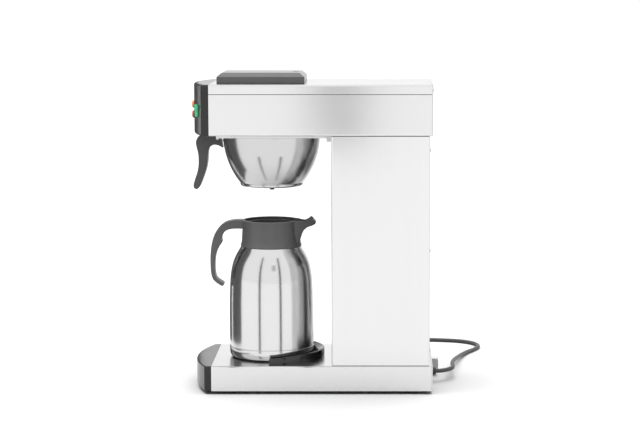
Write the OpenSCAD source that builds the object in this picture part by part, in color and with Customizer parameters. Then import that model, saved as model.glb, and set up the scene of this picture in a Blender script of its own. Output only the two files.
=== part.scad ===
// Drip coffee maker: steel housing, brew basket on rails, vacuum jug on the base.
// +Z up, +X across the width, the front faces -Y, the table is z = 0.

/* [Housing] */
// Width of the housing
body_w = 200; // [196:1:206]
// Depth from the nose of the front mouldings to the back plane
body_d = 390; // [386:1:394]
// How far the housing's middle lies in front of the origin
body_forward = 4; // [3:1:5]
// Height of the base's top above the table
base_top = 46.5; // [44:0.5:49]
// Height of the head's underside above the table
head_low = 420; // [418:1:424]
// Height of the head's steel top above the table
head_high = 502; // [500:1:506]
// Thickness of the sheet steel
sheet_t = 1.2; // [1:0.1:2]
// Height of the rubber feet
foot_h = 5.5; // [4:0.5:7]
// Height of the top cover's skirt
skirt_h = 16; // [12:1:20]
// How far the front mouldings bulge past their side walls
bulge = 21; // [18:1:24]
// Length of the front mouldings' straight side walls
cheek_l = 10; // [8:1:14]

/* [Column] */
// Depth of the column, front to back
column_d = 158.5; // [150:0.5:162]
// Gap between the column's back and the housing's back plane
column_gap = 5; // [4:1:8]
// How far the column's sides lie inside the housing's sides
column_inset = 2; // [1.5:0.5:4]

/* [Fill lid] */
// Width of the fill lid
lid_w = 110; // [106:1:114]
// Length of the fill lid
lid_l = 142; // [138:1:144]
// Height of the fill lid above the steel top
lid_h = 17; // [15:1:19]
// Width of the fill lid's sloped edge
lid_slope = 8; // [6:1:10]

/* [Brew basket] */
// Distance of the basket's axis in front of the origin
basket_front = 73; // [72:0.5:74]
// Outer radius of the basket's flange
flange_r = 84; // [83:0.5:85]
// Radius of the arc that the bowl's wall follows
bowl_arc_r = 130; // [128:1:132]
// Thickness of the bowl's wall
bowl_t = 1.2; // [1:0.1:1.6]
// Width of the basket's lever handle
lever_w = 22; // [18:1:26]

/* [Vacuum jug] */
// Distance of the jug's axis in front of the origin
jug_front = 75; // [74:0.5:76]
// Largest radius of the jug
jug_r = 69.6; // [69:0.1:70]
// Height of the collar's lower edge above the table
collar_low = 231; // [230:0.5:232]
// Height of the jug's rim above the table
rim_high = 274.3; // [273:0.1:276]
// Radius of the jug's mouth
mouth_r = 39.6; // [38:0.2:41]
// Width of the jug's handle
grip_w = 24; // [20:1:28]

/* [Switches] */
// Distance of the green rocker from the middle of the panel
rocker_x = 72; // [68:1:74]
// Diameter of the round lamp and the round button
round_d = 12.5; // [12:0.1:13]
// Travel of the red button
button_travel = 2; // [1:0.5:2.5]

/* [Power cord] */
// Diameter of the mains cord
cord_d = 7; // [7:0.5:8]
// Sideways place of the cord gland on the back
gland_x = 0; // [-2:1:2]
// Radius of the coil at the middle of its turns
coil_r = 39; // [38:0.5:40]

/* [Hidden] */
$fn = 96;
eps = 0.01;

front_y = -body_d / 2 - body_forward;
back_y = body_d / 2 - body_forward;
back_t = 2;
shell_back = back_y - back_t;
joint_y = front_y + bulge + cheek_l;
half_w = body_w / 2;
nose_r = (half_w * half_w + bulge * bulge) / (2 * bulge);
nose_y = front_y + nose_r;
seam_z = head_high - skirt_h;
fold_r = 2.5;

column_back_y = back_y - column_gap;
column_front_y = column_back_y - column_d;
column_half = half_w - column_inset;
joint_gap = 0.5;

foot_x = 83;
foot_front_y = -138;
foot_rear_y = 158.5;
screw_r = 2.2;

basket_y = -basket_front;
jug_y = -jug_front;
flange_z = 416.8;
flange_t = 1.2;
bowl_arc_in = 50;
bowl_arc_z = 416.5;
bowl_foot_z = 337;
bowl_low_z = 331;
nozzle_low_z = 324;
rail_low_z = 415.5;
rail_tab_z = 414;
rail_x = 88;
rail_front_y = -157;
rail_back_y = 21;
rail_screw_r = 1.5;

lid_front_y = -158.5;
lid_back_y = lid_front_y + lid_l;
hole_inset = 9;
hole_w = lid_w - 2 * hole_inset;
hole_front_y = lid_front_y + hole_inset;
hole_l = lid_l - 2 * hole_inset;
spout_y = lid_back_y - 30;
funnel_low = 472;

rocker_z = 459.3;
amber_z = 465.4;
button_z = 448.8;
round_proud = 4.5;
rocker_w = 12.4;
rocker_h = 19.2;
rocker_pin_r = 1.4;
rocker_tilt = 7;
panel_t = 3;

jug_low = 46.8;
shell_low = 48.5;
neck_z = 230.2;
collar_lip_r = 50.3;
collar_side_r = 48.5;
collar_rim_r = 47;

gland_z = 19;
gland_l = 8;
coil_x = -334;
coil_y = 132;
coil_turns_w = 2;
tail_l = 24;
plug_r = 18.5;

// The basket lever, from the front of the rim round to the back of the rim, in (y, z)
lever_outline = [[-157, 416.7], [-184, 416], [-193, 412.5], [-197, 404], [-196, 395], [-193.5, 384],
  [-193, 368], [-195, 355], [-198.5, 344], [-201.5, 334], [-201, 328], [-197, 325.5], [-192.5, 328.5],
  [-188.5, 336.5], [-184.5, 347], [-180.5, 359], [-178.2, 371], [-177.2, 385], [-175, 394],
  [-168, 398.8], [-160, 397.8], [-153, 394]];

// The jug handle, hooked at its lower end, in (y, z)
grip_outline = [[-118, 274], [-134, 274], [-148, 271], [-159, 263.5], [-167.5, 251.5], [-172.7, 235.5],
  [-175, 217], [-175.2, 200], [-174, 184], [-170, 174], [-160, 166], [-155, 164.5], [-153.5, 168.5],
  [-160.5, 173.5], [-166, 179], [-168, 191], [-167.8, 206], [-165.5, 219], [-160.5, 230],
  [-155.6, 237.5], [-156.4, 243.6], [-154, 251], [-149, 256.5], [-141, 259.3], [-130, 260], [-118, 259.6]];

// The jug's pouring spout, behind the collar's axis, in (y, z)
spout_outline = [[30, 243], [46, 244], [49, 250], [55, 257], [64, 262.5], [74.4, 267.3], [65, 278.8],
  [58, 275], [50, rim_high], [30, rim_high]];

// Half of the jug's outer wall, from the foot to the neck, as (radius, z)
jug_profile = [[65.8, shell_low], [67.6, 49.6], [68.8, 52], [69.5, 56], [jug_r, 61], [jug_r, 100], [69.4, 139],
  [68.3, 172], [66.6, 188], [63.7, 202], [58.6, 215], [50, neck_z]];

// The cord's route from the gland to the coil, over the table
cord_route = [[0, 199, 19], [-1, 205.5, 19.2], [-4.5, 214, 19.6], [-11.5, 221.5, 20], [-22, 226.5, 20],
  [-36, 228.5, 20], [-60, 228.5, 19], [-86, 229.5, 17], [-112, 232, 15], [-140, 236, 12.5],
  [-170, 241, 9.5], [-200, 247, 7], [-222, 253, 5.5], [-243, 260, 4.5], [-262, 268.5, 3.8],
  [-278, 276, 3.5], [-296, 282.5, 3.5], [-316, 283.5, 3.5], [-335, 277, 3.5], [-350, 264, 3.5],
  [-360, 247, 3.5], [-366, 228, 3.5], [-370, 206, 3.5], [-373, 182, 3.5], [-373, 156, 3.5],
  [-373, 132, 3.5]];

// A curve through the points that passes each one smoothly, with n steps from point to point
function hermite(p0, p1, p2, p3, t) =
  0.5 * (2 * p1 + (p2 - p0) * t + (2 * p0 - 5 * p1 + 4 * p2 - p3) * t * t
  + (3 * p1 - p0 - 3 * p2 + p3) * t * t * t);
function smooth(p, n) = [for (i = [0:len(p) - 2]) for (k = [0:n - 1])
  hermite(p[max(i - 1, 0)], p[i], p[i + 1], p[min(i + 2, len(p) - 1)], k / n), p[len(p) - 1]];

// A tube swept along a route: one ring for each point, square to the route there
function unit(v) = v / norm(v);
function heading(p, i) = unit(p[min(i + 1, len(p) - 1)] - p[max(i - 1, 0)]);
function ring(c, h, r, n) =
  let (side = unit(cross(h, [0, 0, 1])), up = cross(side, h))
  [for (k = [0:n - 1]) c + r * (cos(360 * k / n) * side + sin(360 * k / n) * up)];
function tube_points(p, r, n) = [for (i = [0:len(p) - 1]) each ring(p[i], heading(p, i), r, n)];
function tube_faces(m, n) = concat([[for (k = [0:n - 1]) k]],
  [for (i = [0:m - 2]) for (k = [0:n - 1])
    [i * n + k, (i + 1) * n + k, (i + 1) * n + (k + 1) % n, i * n + (k + 1) % n]],
  [[for (k = [n - 1:-1:0]) (m - 1) * n + k]]);

module box(x0, x1, y0, y1, z0, z1) { translate([x0, y0, z0]) cube([x1 - x0, y1 - y0, z1 - z0]); }

module drum(r, z0, z1) { translate([0, 0, z0]) cylinder(r = r, h = z1 - z0); }

// A cylinder of length l that lies along +Y from the origin
module rod_y(r, l) { rotate([-90, 0, 0]) cylinder(r = r, h = l); }

// A cylinder of length l centred on the origin along X
module rod_x(r, l) { rotate([0, 90, 0]) cylinder(r = r, h = l, center = true); }

// A pipe through the points, with round elbows a little fatter than the pipe
module pipe(p, r) {
  for (i = [0:len(p) - 2]) {
    run = p[i + 1] - p[i];
    translate(p[i]) rotate([0, acos(run[2] / norm(run)), atan2(run[1], run[0])])
      cylinder(r = r, h = norm(run), $fn = 24);
  }
  for (i = [1:1:len(p) - 2]) translate(p[i]) sphere(r = r + 0.4, $fn = 24);
}

// A flat outline in (y, z), made w wide across X
module across(w) { rotate([90, 0, 90]) translate([0, 0, -w / 2]) linear_extrude(w) children(); }

// A block across the whole width whose two long edges at the given height are rounded
module rounded_top(x, y0, y1, z0, z1, r) {
  translate([0, y1, 0]) rotate([90, 0, 0]) linear_extrude(y1 - y0) {
    translate([-x, z0]) square([2 * x, z1 - r - z0]);
    translate([-x + r, z0]) square([2 * (x - r), z1 - z0]);
    for (s = [-1, 1]) translate([s * (x - r), z1 - r]) circle(r, $fn = 32);
  }
}

// An upright block whose four corners are rounded
module rounded_post(x, y0, y1, z0, z1, r) {
  translate([0, 0, z0]) linear_extrude(z1 - z0) {
    translate([-x, y0 + r]) square([2 * x, y1 - y0 - 2 * r]);
    translate([-x + r, y0]) square([2 * (x - r), y1 - y0]);
    for (s = [-1, 1], y = [y0 + r, y1 - r]) translate([s * (x - r), y]) circle(r, $fn = 32);
  }
}

// The solid of a front moulding: bowed front, rounded upper and lower edges
module bowed_block(inset, z0, z1, r) {
  intersection() {
    box(-half_w + inset, half_w - inset, front_y - 1, joint_y, z0 - 1, z1 + 1);
    translate([0, nose_y, 0]) rotate_extrude($fn = 360) {
      translate([nose_r - inset - 60, z0]) square([60 - r, z1 - z0]);
      translate([nose_r - inset - 60, z0 + r]) square([60, z1 - z0 - 2 * r]);
      for (z = [z0 + r, z1 - r]) translate([nose_r - inset - r, z]) circle(r, $fn = 32);
    }
  }
}

// A place on the bowed front, turned to face outwards there
module on_front(x, z) {
  turn = asin(x / nose_r);
  translate([x, nose_y - nose_r * cos(turn), z]) rotate([0, 0, turn]) children();
}

// ---- Base ----

// The four feet's places under the base
module at_feet() {
  for (x = [-foot_x, foot_x], y = [foot_front_y, foot_rear_y]) translate([x, y, 0]) children();
}

module base_shell() {
  color("gainsboro") difference() {
    rounded_top(half_w, joint_y, shell_back, foot_h, base_top, fold_r);
    rounded_top(half_w - sheet_t, joint_y - 1, shell_back + 1, foot_h + sheet_t, base_top - sheet_t, 1);
    box(-half_w + 25, half_w - 25, joint_y - 1, shell_back + 1, foot_h - 1, foot_h + 2 * sheet_t);
    at_feet() drum(screw_r, 0, 20);
  }
}

module base_bottom() {
  color("silver") difference() {
    box(-half_w + sheet_t, half_w - sheet_t, joint_y + 2, shell_back,
      foot_h + sheet_t, foot_h + 2 * sheet_t);
    at_feet() drum(screw_r, 0, 20);
    for (y = [60:12:132]) box(-30, 30, y, y + 4, 0, 20);
  }
}

module base_back() {
  color("silver") difference() {
    rounded_top(half_w, shell_back, back_y, foot_h, base_top, fold_r);
    translate([gland_x, shell_back - 1, gland_z]) rod_y(5, back_t + 2);
  }
}

module base_front() {
  color("dimgray") difference() {
    bowed_block(0, foot_h, base_top, 2);
    bowed_block(3, foot_h + 3, base_top - 3, 1);
  }
}

module feet() {
  color("black") at_feet() difference() {
    union() {
      drum(9.5, 0, foot_h);
      drum(10.3, 1, foot_h);
    }
    drum(4, -1, 3);
    drum(screw_r, 0, foot_h + 1);
  }
}

module foot_screws() {
  color("silver") at_feet() {
    drum(3.9, 1.2, 3);
    drum(screw_r, 1.2, foot_h + 7);
  }
}

module jug_guide() {
  color("black") translate([0, jug_y, 0]) intersection() {
    rotate_extrude($fn = 180) polygon([[76, base_top], [88, base_top], [88, base_top + 12.5],
      [86.5, base_top + 14], [78.5, base_top + 10], [76, base_top + 8]]);
    box(-90, 90, 0, 90, 0, 80);
  }
}

// ---- Column ----

module column_shell() {
  lap = 0.6;
  color("whitesmoke") difference() {
    union() {
      rounded_post(column_half, column_front_y, column_back_y + 20, base_top + joint_gap,
        head_low - joint_gap, fold_r);
      rounded_post(column_half - lap, column_front_y + lap, column_back_y + 20, base_top, head_low, fold_r);
    }
    rounded_post(column_half - lap - sheet_t, column_front_y + lap + sheet_t, column_back_y + 30,
      base_top - 1, head_low + 1, 1);
    box(-half_w, half_w, column_back_y - sheet_t, column_back_y + 40, 0, head_high);
  }
}

module column_back() {
  color("silver") difference() {
    box(-column_half, column_half, column_back_y - sheet_t, column_back_y, base_top, head_low);
    for (z = [90:10:170], x = [-50, 10]) box(x, x + 40, column_back_y - 5, column_back_y + 5, z, z + 3);
    for (x = [-84, 84], z = [70, 233, 396]) translate([x, column_back_y - 5, z]) rod_y(1.8, 10);
  }
}

module back_screws() {
  color("silver") for (x = [-84, 84], z = [70, 233, 396]) translate([x, column_back_y - 8, z]) {
    rod_y(1.8, 8);
    translate([0, 8, 0]) rod_y(3.4, 1.8);
  }
}

// ---- Head ----

module head_shell() {
  color("whitesmoke") difference() {
    mirror([0, 0, 1]) rounded_top(half_w, joint_y, shell_back, -seam_z, -head_low, fold_r);
    box(-half_w + sheet_t, half_w - sheet_t, joint_y - 1, shell_back + 1, head_low + sheet_t, seam_z + 1);
    translate([0, basket_y, 0]) drum(36, head_low - 1, head_low + 5);
    box(-92, 92, column_front_y + 12, column_back_y - 12, head_low - 1, head_low + 5);
    at_rail_screws() drum(rail_screw_r, head_low - 5, head_low + 5);
  }
}

module head_back() {
  color("silver") difference() {
    rounded_top(half_w, shell_back, back_y, head_low, head_high, fold_r);
    for (x = [-80, 0, 80]) translate([x, shell_back - 1, seam_z + 6]) rod_y(1.5, back_t + 2);
  }
}

module head_cover() {
  color("whitesmoke") difference() {
    union() {
      rounded_top(half_w, joint_y, shell_back, seam_z + joint_gap, head_high, fold_r);
      box(-half_w + sheet_t, half_w - sheet_t, joint_y, shell_back, seam_z - 6, seam_z + 4);
    }
    rounded_top(half_w - 2 * sheet_t, joint_y - 1, shell_back + 1, seam_z - 7, head_high - sheet_t, 1);
    rounded_post(hole_w / 2, hole_front_y, hole_front_y + hole_l, head_high - 5, head_high + 5, 6);
  }
}

module cover_screws() {
  color("silver") for (x = [-80, 0, 80]) translate([x, back_y - 6, seam_z + 6]) {
    rod_y(1.5, 6);
    translate([0, 6, 0]) rod_y(3, 1.5);
  }
}

module control_panel() {
  color("dimgray") difference() {
    bowed_block(0, head_low - 0.5, head_high, 3.5);
    bowed_block(panel_t, head_low + panel_t, head_high - panel_t, 1);
    on_front(rocker_x, rocker_z) box(-7.4, 7.4, -5, 12, -11, 11);
    for (z = [amber_z, button_z]) on_front(0, z) translate([0, -5, 0]) rod_y(7, 20);
  }
}

// The screws that hold the rails to the head's floor
module at_rail_screws() { for (x = [-92.5, 92.5], y = [-130, -4]) translate([x, y, 0]) children(); }

module rail(side) {
  difference() {
    mirror([side < 0 ? 1 : 0, 0, 0]) {
      box(rail_x - 0.6, rail_x + 0.6, rail_front_y, rail_back_y, rail_low_z, head_low);
      box(rail_x - 0.6, rail_x + 0.6, rail_front_y, rail_front_y + 4, rail_tab_z, rail_low_z + 1);
      box(rail_x - 7, rail_x, rail_front_y, rail_back_y, rail_low_z, rail_low_z + 1);
      box(rail_x, rail_x + 8, rail_front_y, rail_back_y, head_low - 1.2, head_low);
      box(rail_x - 0.6, rail_x + 6, rail_back_y, column_front_y, head_low - 9.5, head_low);
    }
    at_rail_screws() drum(rail_screw_r, head_low - 5, head_low + 5);
  }
}

module rail_left() { color("silver") rail(-1); }

module rail_right() { color("silver") rail(1); }

module rail_screws() {
  color("silver") at_rail_screws() {
    drum(rail_screw_r, head_low - 1.5, head_low + 5);
    drum(2.8, head_low - 2.6, head_low - 1.2);
  }
}

module spray_head() {
  color("lightgray") translate([0, basket_y, 0]) difference() {
    union() {
      drum(42, head_low + sheet_t, head_low + sheet_t + 2);
      drum(35.5, head_low - 1.4, head_low + sheet_t + 1);
      drum(9, head_low, head_low + 26);
    }
    drum(33, head_low - 0.2, head_low + sheet_t - 0.2);
    drum(5, head_low - 2, head_low + 27);
    for (a = [0:45:315], r = [12, 24])
      rotate([0, 0, a]) translate([r, 0, 0]) drum(1.6, head_low - 5, head_low);
  }
}

module fill_funnel() {
  color("gray") difference() {
    union() {
      rounded_post(hole_w / 2 + 5, hole_front_y - 5, hole_front_y + hole_l + 5,
        head_high - sheet_t - 2, head_high - sheet_t, 8);
      rounded_post(hole_w / 2 + 2, hole_front_y - 2, hole_front_y + hole_l + 2,
        funnel_low, head_high - sheet_t, 7);
      translate([0, spout_y, 0]) drum(9, funnel_low - 10, funnel_low + 2);
    }
    rounded_post(hole_w / 2, hole_front_y, hole_front_y + hole_l, funnel_low + 2, head_high, 6);
    translate([0, spout_y, 0]) drum(7, funnel_low - 12, funnel_low + 8);
  }
}

module fill_lid() {
  low = head_high + 0.3;
  shoulder = head_high + lid_h - 6.5;
  play = 0.8;
  wall = 3;
  color("dimgray") difference() {
    union() {
      box(-lid_w / 2, lid_w / 2, lid_front_y, lid_back_y, low, shoulder);
      hull() {
        box(-lid_w / 2, lid_w / 2, lid_front_y, lid_back_y, shoulder - eps, shoulder);
        box(-lid_w / 2 + lid_slope, lid_w / 2 - lid_slope, lid_front_y + lid_slope,
          lid_back_y - lid_slope, shoulder, head_high + lid_h);
      }
      rounded_post(hole_w / 2 - play, hole_front_y + play, hole_front_y + hole_l - play,
        head_high - 6, low + 1, 5);
    }
    rounded_post(hole_w / 2 - wall, hole_front_y + wall, hole_front_y + hole_l - wall,
      head_high - 7, shoulder - 2.5, 4);
  }
}

// ---- Water system inside the housing ----

module water_tank() {
  color("silver") difference() {
    rounded_post(78, column_front_y + 14, column_back_y - 34, 232, 402, 12);
    rounded_post(77, column_front_y + 15, column_back_y - 35, 233, 401, 11);
    translate([0, column_front_y + 30, 0]) drum(6.2, 395, 405);
    translate([0, 100, 0]) drum(5.2, 225, 240);
  }
}

module flow_heater() {
  color("gray") translate([0, 100, 0]) difference() {
    union() {
      drum(22, 86, 190);
      drum(9, 78, 198);
    }
    drum(5, 70, 205);
  }
}

module check_valve() {
  color("white") translate([0, 100, 0]) difference() {
    union() {
      drum(8, 198, 218);
      drum(5.2, 218, 232);
    }
    drum(3, 190, 240);
  }
}

module cold_hose() {
  color("lightyellow") pipe([[0, spout_y, funnel_low - 10], [0, spout_y, 446],
    [0, column_front_y + 30, 446], [0, column_front_y + 30, 396]], 6);
}

module riser_tube() {
  color("lightyellow") pipe([[0, 100, 78], [0, 100, 66], [86, 100, 66], [86, 100, 434], [30, 100, 434],
    [30, basket_y, 434], [9, basket_y, 434]], 4);
}

module thermostat() {
  color("black") translate([0, 78, 140]) {
    rotate([90, 0, 0]) cylinder(r = 9, h = 7);
    translate([0, -7, 0]) rotate([90, 0, 0]) cylinder(r = 6, h = 4);
  }
}

module thermal_fuse() { color("white") translate([-25, 100, 0]) drum(3, 118, 138); }

module terminal_block() {
  color("white") difference() {
    box(-70, -20, 150, 172, foot_h + 2 * sheet_t, 24);
    for (x = [-62:11:-29]) translate([x, 161, 0]) drum(2.6, 16, 30);
  }
}

// ---- Switches ----

module rocker_housing() {
  color("black") on_front(rocker_x, rocker_z) {
    difference() {
      union() {
        box(-8.2, 8.2, -1, 0.6, -11.8, 11.8);
        box(-7.2, 7.2, 0, 20, -10.8, 10.8);
      }
      box(-6.5, 6.5, -2, 4, -10.1, 10.1);
      box(-6.5, 6.5, 3, 16, -8.5, 8.5);
    }
    rod_x(rocker_pin_r, 13.4);
  }
}

module brew_rocker() {
  color("green") on_front(rocker_x, rocker_z) rotate([rocker_tilt, 0, 0]) difference() {
    union() {
      box(-rocker_w / 2, rocker_w / 2, -2.6, 1.5, -rocker_h / 2, rocker_h / 2);
      box(-5.5, 5.5, 1, 7, -6, 6);
    }
    translate([0, -22.2, 0]) rod_x(20, 30);
    rod_x(rocker_pin_r + 0.05, 30);
  }
}

module round_bezel(z) {
  on_front(0, z) difference() {
    union() {
      translate([0, -1, 0]) rod_y(7.9, 1);
      rod_y(6.9, 16);
    }
    translate([0, -2, 0]) rod_y(round_d / 2 + 0.1, 14);
  }
}

module lamp_holder() { color("black") round_bezel(amber_z); }

module button_housing() { color("black") round_bezel(button_z); }

// A round cap with a domed face that stands proud of the panel
module round_cap(l) {
  r = round_d / 2 - 0.25;
  translate([0, -round_proud, 0]) rotate([-90, 0, 0]) rotate_extrude() {
    translate([0, 1.2]) square([r, l - 1.2]);
    square([r - 1.2, 3]);
    intersection() {
      translate([r - 1.2, 1.2]) circle(1.2, $fn = 32);
      square([r, 3]);
    }
  }
}

module amber_lens() { color("orange") on_front(0, amber_z) round_cap(16.5); }

module warm_button() { color("maroon") on_front(0, button_z) round_cap(16.5 - button_travel - 1); }

// ---- Brew basket ----

module bowl_skin(t) {
  difference() {
    translate([-bowl_arc_in, bowl_arc_z]) circle(bowl_arc_r, $fn = 360);
    translate([-bowl_arc_in, bowl_arc_z]) circle(bowl_arc_r - t, $fn = 360);
  }
}

module bowl_solid() {
  foot_r = 52.3;
  translate([0, basket_y, 0]) rotate_extrude($fn = 180) {
    intersection() {
      bowl_skin(bowl_t);
      translate([foot_r - 2, bowl_foot_z]) square([60, flange_z - bowl_foot_z]);
    }
    difference() {
      union() {
        translate([8, bowl_low_z]) square([foot_r - 12, 6]);
        translate([8, bowl_low_z + 4]) square([foot_r - 8, 3]);
        translate([foot_r - 4, bowl_low_z + 4]) circle(4, $fn = 32);
      }
      translate([0, bowl_low_z + bowl_t]) square([foot_r - bowl_t, 20]);
    }
  }
}

module basket_bowl() {
  color("silver") difference() {
    bowl_solid();
    at_lever_screws() cylinder(r = 1.5, h = 10);
  }
}

module basket_flange() {
  color("silver") translate([0, basket_y, 0]) rotate_extrude($fn = 180) {
    translate([78.6, flange_z]) square([flange_r - 78.6, flange_t]);
  }
}

module basket_handle() {
  color("black") difference() {
    across(lever_w) polygon(smooth(lever_outline, 3));
    translate([0, basket_y, 0]) drum(flange_r + 0.1, flange_z - 0.2, 420);
    translate([0, basket_y, 0]) rotate_extrude($fn = 180) intersection() {
      translate([-bowl_arc_in, bowl_arc_z]) circle(bowl_arc_r + 0.1, $fn = 360);
      translate([0, 300]) square([100, 120]);
    }
    translate([-40, -220, flange_z + flange_t]) cube([80, 100, 10]);
    at_lever_screws() cylinder(r = 1.5, h = 10);
  }
}

// The two screws that hold the lever to the bowl
module at_lever_screws() {
  for (x = [-6, 6]) translate([x, basket_y - 76.2, 405]) rotate([90, 0, 0]) children();
}

module basket_screws() {
  color("silver") at_lever_screws() {
    cylinder(r = 1.5, h = 10);
    cylinder(r = 2.8, h = 1.2);
  }
}

module basket_nozzle() {
  color("black") translate([0, basket_y, 0]) difference() {
    union() {
      drum(11, bowl_low_z + bowl_t, bowl_low_z + bowl_t + 2);
      drum(8, bowl_low_z - 1, bowl_low_z + bowl_t + 2);
      translate([0, 0, nozzle_low_z]) cylinder(r1 = 3, r2 = 6.5, h = bowl_low_z - nozzle_low_z);
    }
    drum(1.8, nozzle_low_z - 1, 345);
  }
}

module filter_insert() {
  wall = 1.6;
  color("black") translate([0, basket_y, 0]) rotate_extrude($fn = 120) {
    intersection() {
      difference() {
        translate([-bowl_arc_in, bowl_arc_z]) circle(bowl_arc_r - 6, $fn = 360);
        translate([-bowl_arc_in, bowl_arc_z]) circle(bowl_arc_r - 6 - wall, $fn = 360);
      }
      translate([30, 344]) square([60, flange_z - 344]);
    }
    translate([6, 342.4]) square([45, wall]);
    for (r = [16, 38]) translate([r, bowl_low_z + bowl_t]) square([2, 343 - bowl_low_z - bowl_t]);
    translate([70, flange_z - 1.6]) square([8.2, wall]);
  }
}

// ---- Vacuum jug ----

module jug_shell() {
  color("silver") translate([0, jug_y, 0]) rotate_extrude($fn = 180) difference() {
    polygon(concat([[0, shell_low]], smooth(jug_profile, 3), [[0, neck_z]]));
    polygon(concat([[-1, shell_low + 1]],
      [for (p = smooth(jug_profile, 3)) [p[0] - 1, max(p[1], shell_low + 1)]], [[49, 240], [-1, 240]]));
  }
}

module jug_liner() {
  color("silver") translate([0, jug_y, 0]) rotate_extrude($fn = 120) difference() {
    polygon([[0, 54], [60, 54], [64, 58], [64, 170], [60, 196], [44, 226], [44, 250], [0, 250]]);
    polygon([[-1, 55], [59.6, 55], [63, 58.4], [63, 170], [59, 195.6], [43, 225.7], [43, 251], [-1, 251]]);
  }
}

module jug_foot_ring() {
  color("black") translate([0, jug_y, 0]) difference() {
    drum(65.5, jug_low, shell_low);
    drum(59, jug_low - 1, shell_low + 1);
  }
}

module jug_collar() {
  inner = 44.2;
  color("dimgray") translate([0, jug_y, 0]) difference() {
    union() {
      rotate_extrude($fn = 180) polygon([[0, collar_low], [collar_lip_r, collar_low],
        [collar_lip_r, collar_low + 3], [collar_side_r + 1, collar_low + 4.5],
        [collar_side_r - 0.3, 245],
        [collar_rim_r + 0.5, 260], [collar_rim_r, rim_high - 2], [collar_rim_r - 2, rim_high], [0, rim_high]]);
      intersection() {
        across(60) polygon(smooth(spout_outline, 3));
        linear_extrude(300) polygon([[-34, 20], [-15, 62], [-11, 76], [11, 76], [15, 62], [34, 20]]);
      }
    }
    drum(inner, collar_low - 1, 251);
    drum(mouth_r, 240, rim_high + 6);
    intersection() {
      across(24) polygon([[30, 258], [50, 263], [78, 271.5], [78, 290], [30, 290]]);
      linear_extrude(300) polygon([[-22, 20], [-8, 62], [-7, 80], [7, 80], [8, 62], [22, 20]]);
    }
  }
}

module jug_handle() {
  color("dimgray") difference() {
    across(grip_w) polygon(smooth(grip_outline, 3));
    translate([0, jug_y, 0]) rotate_extrude($fn = 180) polygon([[0, 225], [collar_side_r, 225],
      [collar_side_r - 0.2, 245], [collar_rim_r + 0.6, 260], [collar_rim_r + 0.1, 280], [0, 280]]);
  }
}

module jug_seal() {
  color("black") translate([0, jug_y, 0]) difference() {
    drum(50, neck_z, collar_low);
    drum(44.4, neck_z - 1, collar_low + 1);
  }
}

module jug_stopper() {
  color("black") translate([0, jug_y, 0]) difference() {
    union() {
      drum(mouth_r - 0.6, 256, 266);
      drum(6, 240, 258);
    }
    drum(mouth_r - 3, 259, 270);
    drum(3.5, 230, 280);
  }
}

// ---- Back and cord ----

module rear_spacer() {
  color("gray") translate([-60, back_y, 0]) difference() {
    box(-12, 12, 0, 13, 12, 30.5);
    for (x = [-8:4:8]) box(x - 0.6, x + 0.6, 10, 14, 15, 29);
  }
}

module cord_gland() {
  color("black") translate([gland_x, back_y, gland_z]) {
    rod_y(8, 3);
    rotate([-90, 0, 0]) cylinder(r1 = 7, r2 = 5, h = gland_l);
    translate([0, -6, 0]) rod_y(5, 7);
  }
}

module power_cord() {
  route = smooth(cord_route, 2);
  sides = 10;
  color("#303030") polyhedron(tube_points(route, cord_d / 2, sides), tube_faces(len(route), sides), 4);
}

module cord_coil() {
  w = coil_turns_w * cord_d;
  color("#303030") translate([coil_x, coil_y, 0]) rotate_extrude() {
    translate([coil_r - w / 2 + 2, 0]) square([w - 4, w]);
    translate([coil_r - w / 2, 2]) square([w, w - 4]);
    for (r = [-1, 1], z = [2, w - 2]) translate([coil_r + r * (w / 2 - 2), z]) circle(2, $fn = 32);
  }
}

module cord_tail() {
  color("#303030") translate([coil_x - coil_r, coil_y - tail_l - 6, 10.5]) rod_y(cord_d / 2, tail_l);
}

module plug_body() {
  color("black") translate([coil_x - coil_r, coil_y - tail_l - 6, 0]) rotate([90, 0, 0]) union() {
    translate([0, 10.5, 0]) cylinder(r1 = 4.4, r2 = 6, h = 16);
    translate([0, 13, 12]) cylinder(r1 = 7, r2 = 12.6, h = 8);
    translate([0, plug_r, 18]) cylinder(r = plug_r - 2, h = 16);
    translate([0, plug_r, 26]) cylinder(r = plug_r, h = 12);
  }
}

module plug_pins() {
  color("silver") for (s = [-9.5, 9.5])
    translate([coil_x - coil_r + s, coil_y - tail_l - 6 - 38, plug_r]) rotate([90, 0, 0]) {
      cylinder(r = 2.4, h = 18);
      translate([0, 0, 18]) sphere(2.4, $fn = 32);
    }
}

base_shell();
base_bottom();
base_back();
base_front();
feet();
foot_screws();
jug_guide();
column_shell();
column_back();
back_screws();
head_shell();
head_back();
head_cover();
cover_screws();
control_panel();
rail_left();
rail_right();
rail_screws();
spray_head();
fill_funnel();
water_tank();
flow_heater();
cold_hose();
check_valve();
riser_tube();
thermostat();
thermal_fuse();
terminal_block();
rocker_housing();
lamp_holder();
amber_lens();
button_housing();
brew_rocker();
warm_button();
fill_lid();
basket_bowl();
basket_flange();
basket_handle();
basket_screws();
basket_nozzle();
filter_insert();
jug_shell();
jug_liner();
jug_foot_ring();
jug_collar();
jug_handle();
jug_seal();
jug_stopper();
rear_spacer();
cord_gland();
power_cord();
cord_coil();
cord_tail();
plug_body();
plug_pins();
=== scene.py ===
# %% [markdown]
# # A drip coffee maker in steel and dark plastic
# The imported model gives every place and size. This lesson dresses it: each visible part is modelled
# again with the tools used by hand in edit mode, gets a finish made of nodes, and rides on the part of
# the machine that carries it. Everything is in metres, +Z is up, and the front faces -Y.

# %% Load the frame
from math import cos, pi, radians, sin

import bmesh
import bpy
from mathutils import Matrix, Vector


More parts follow.
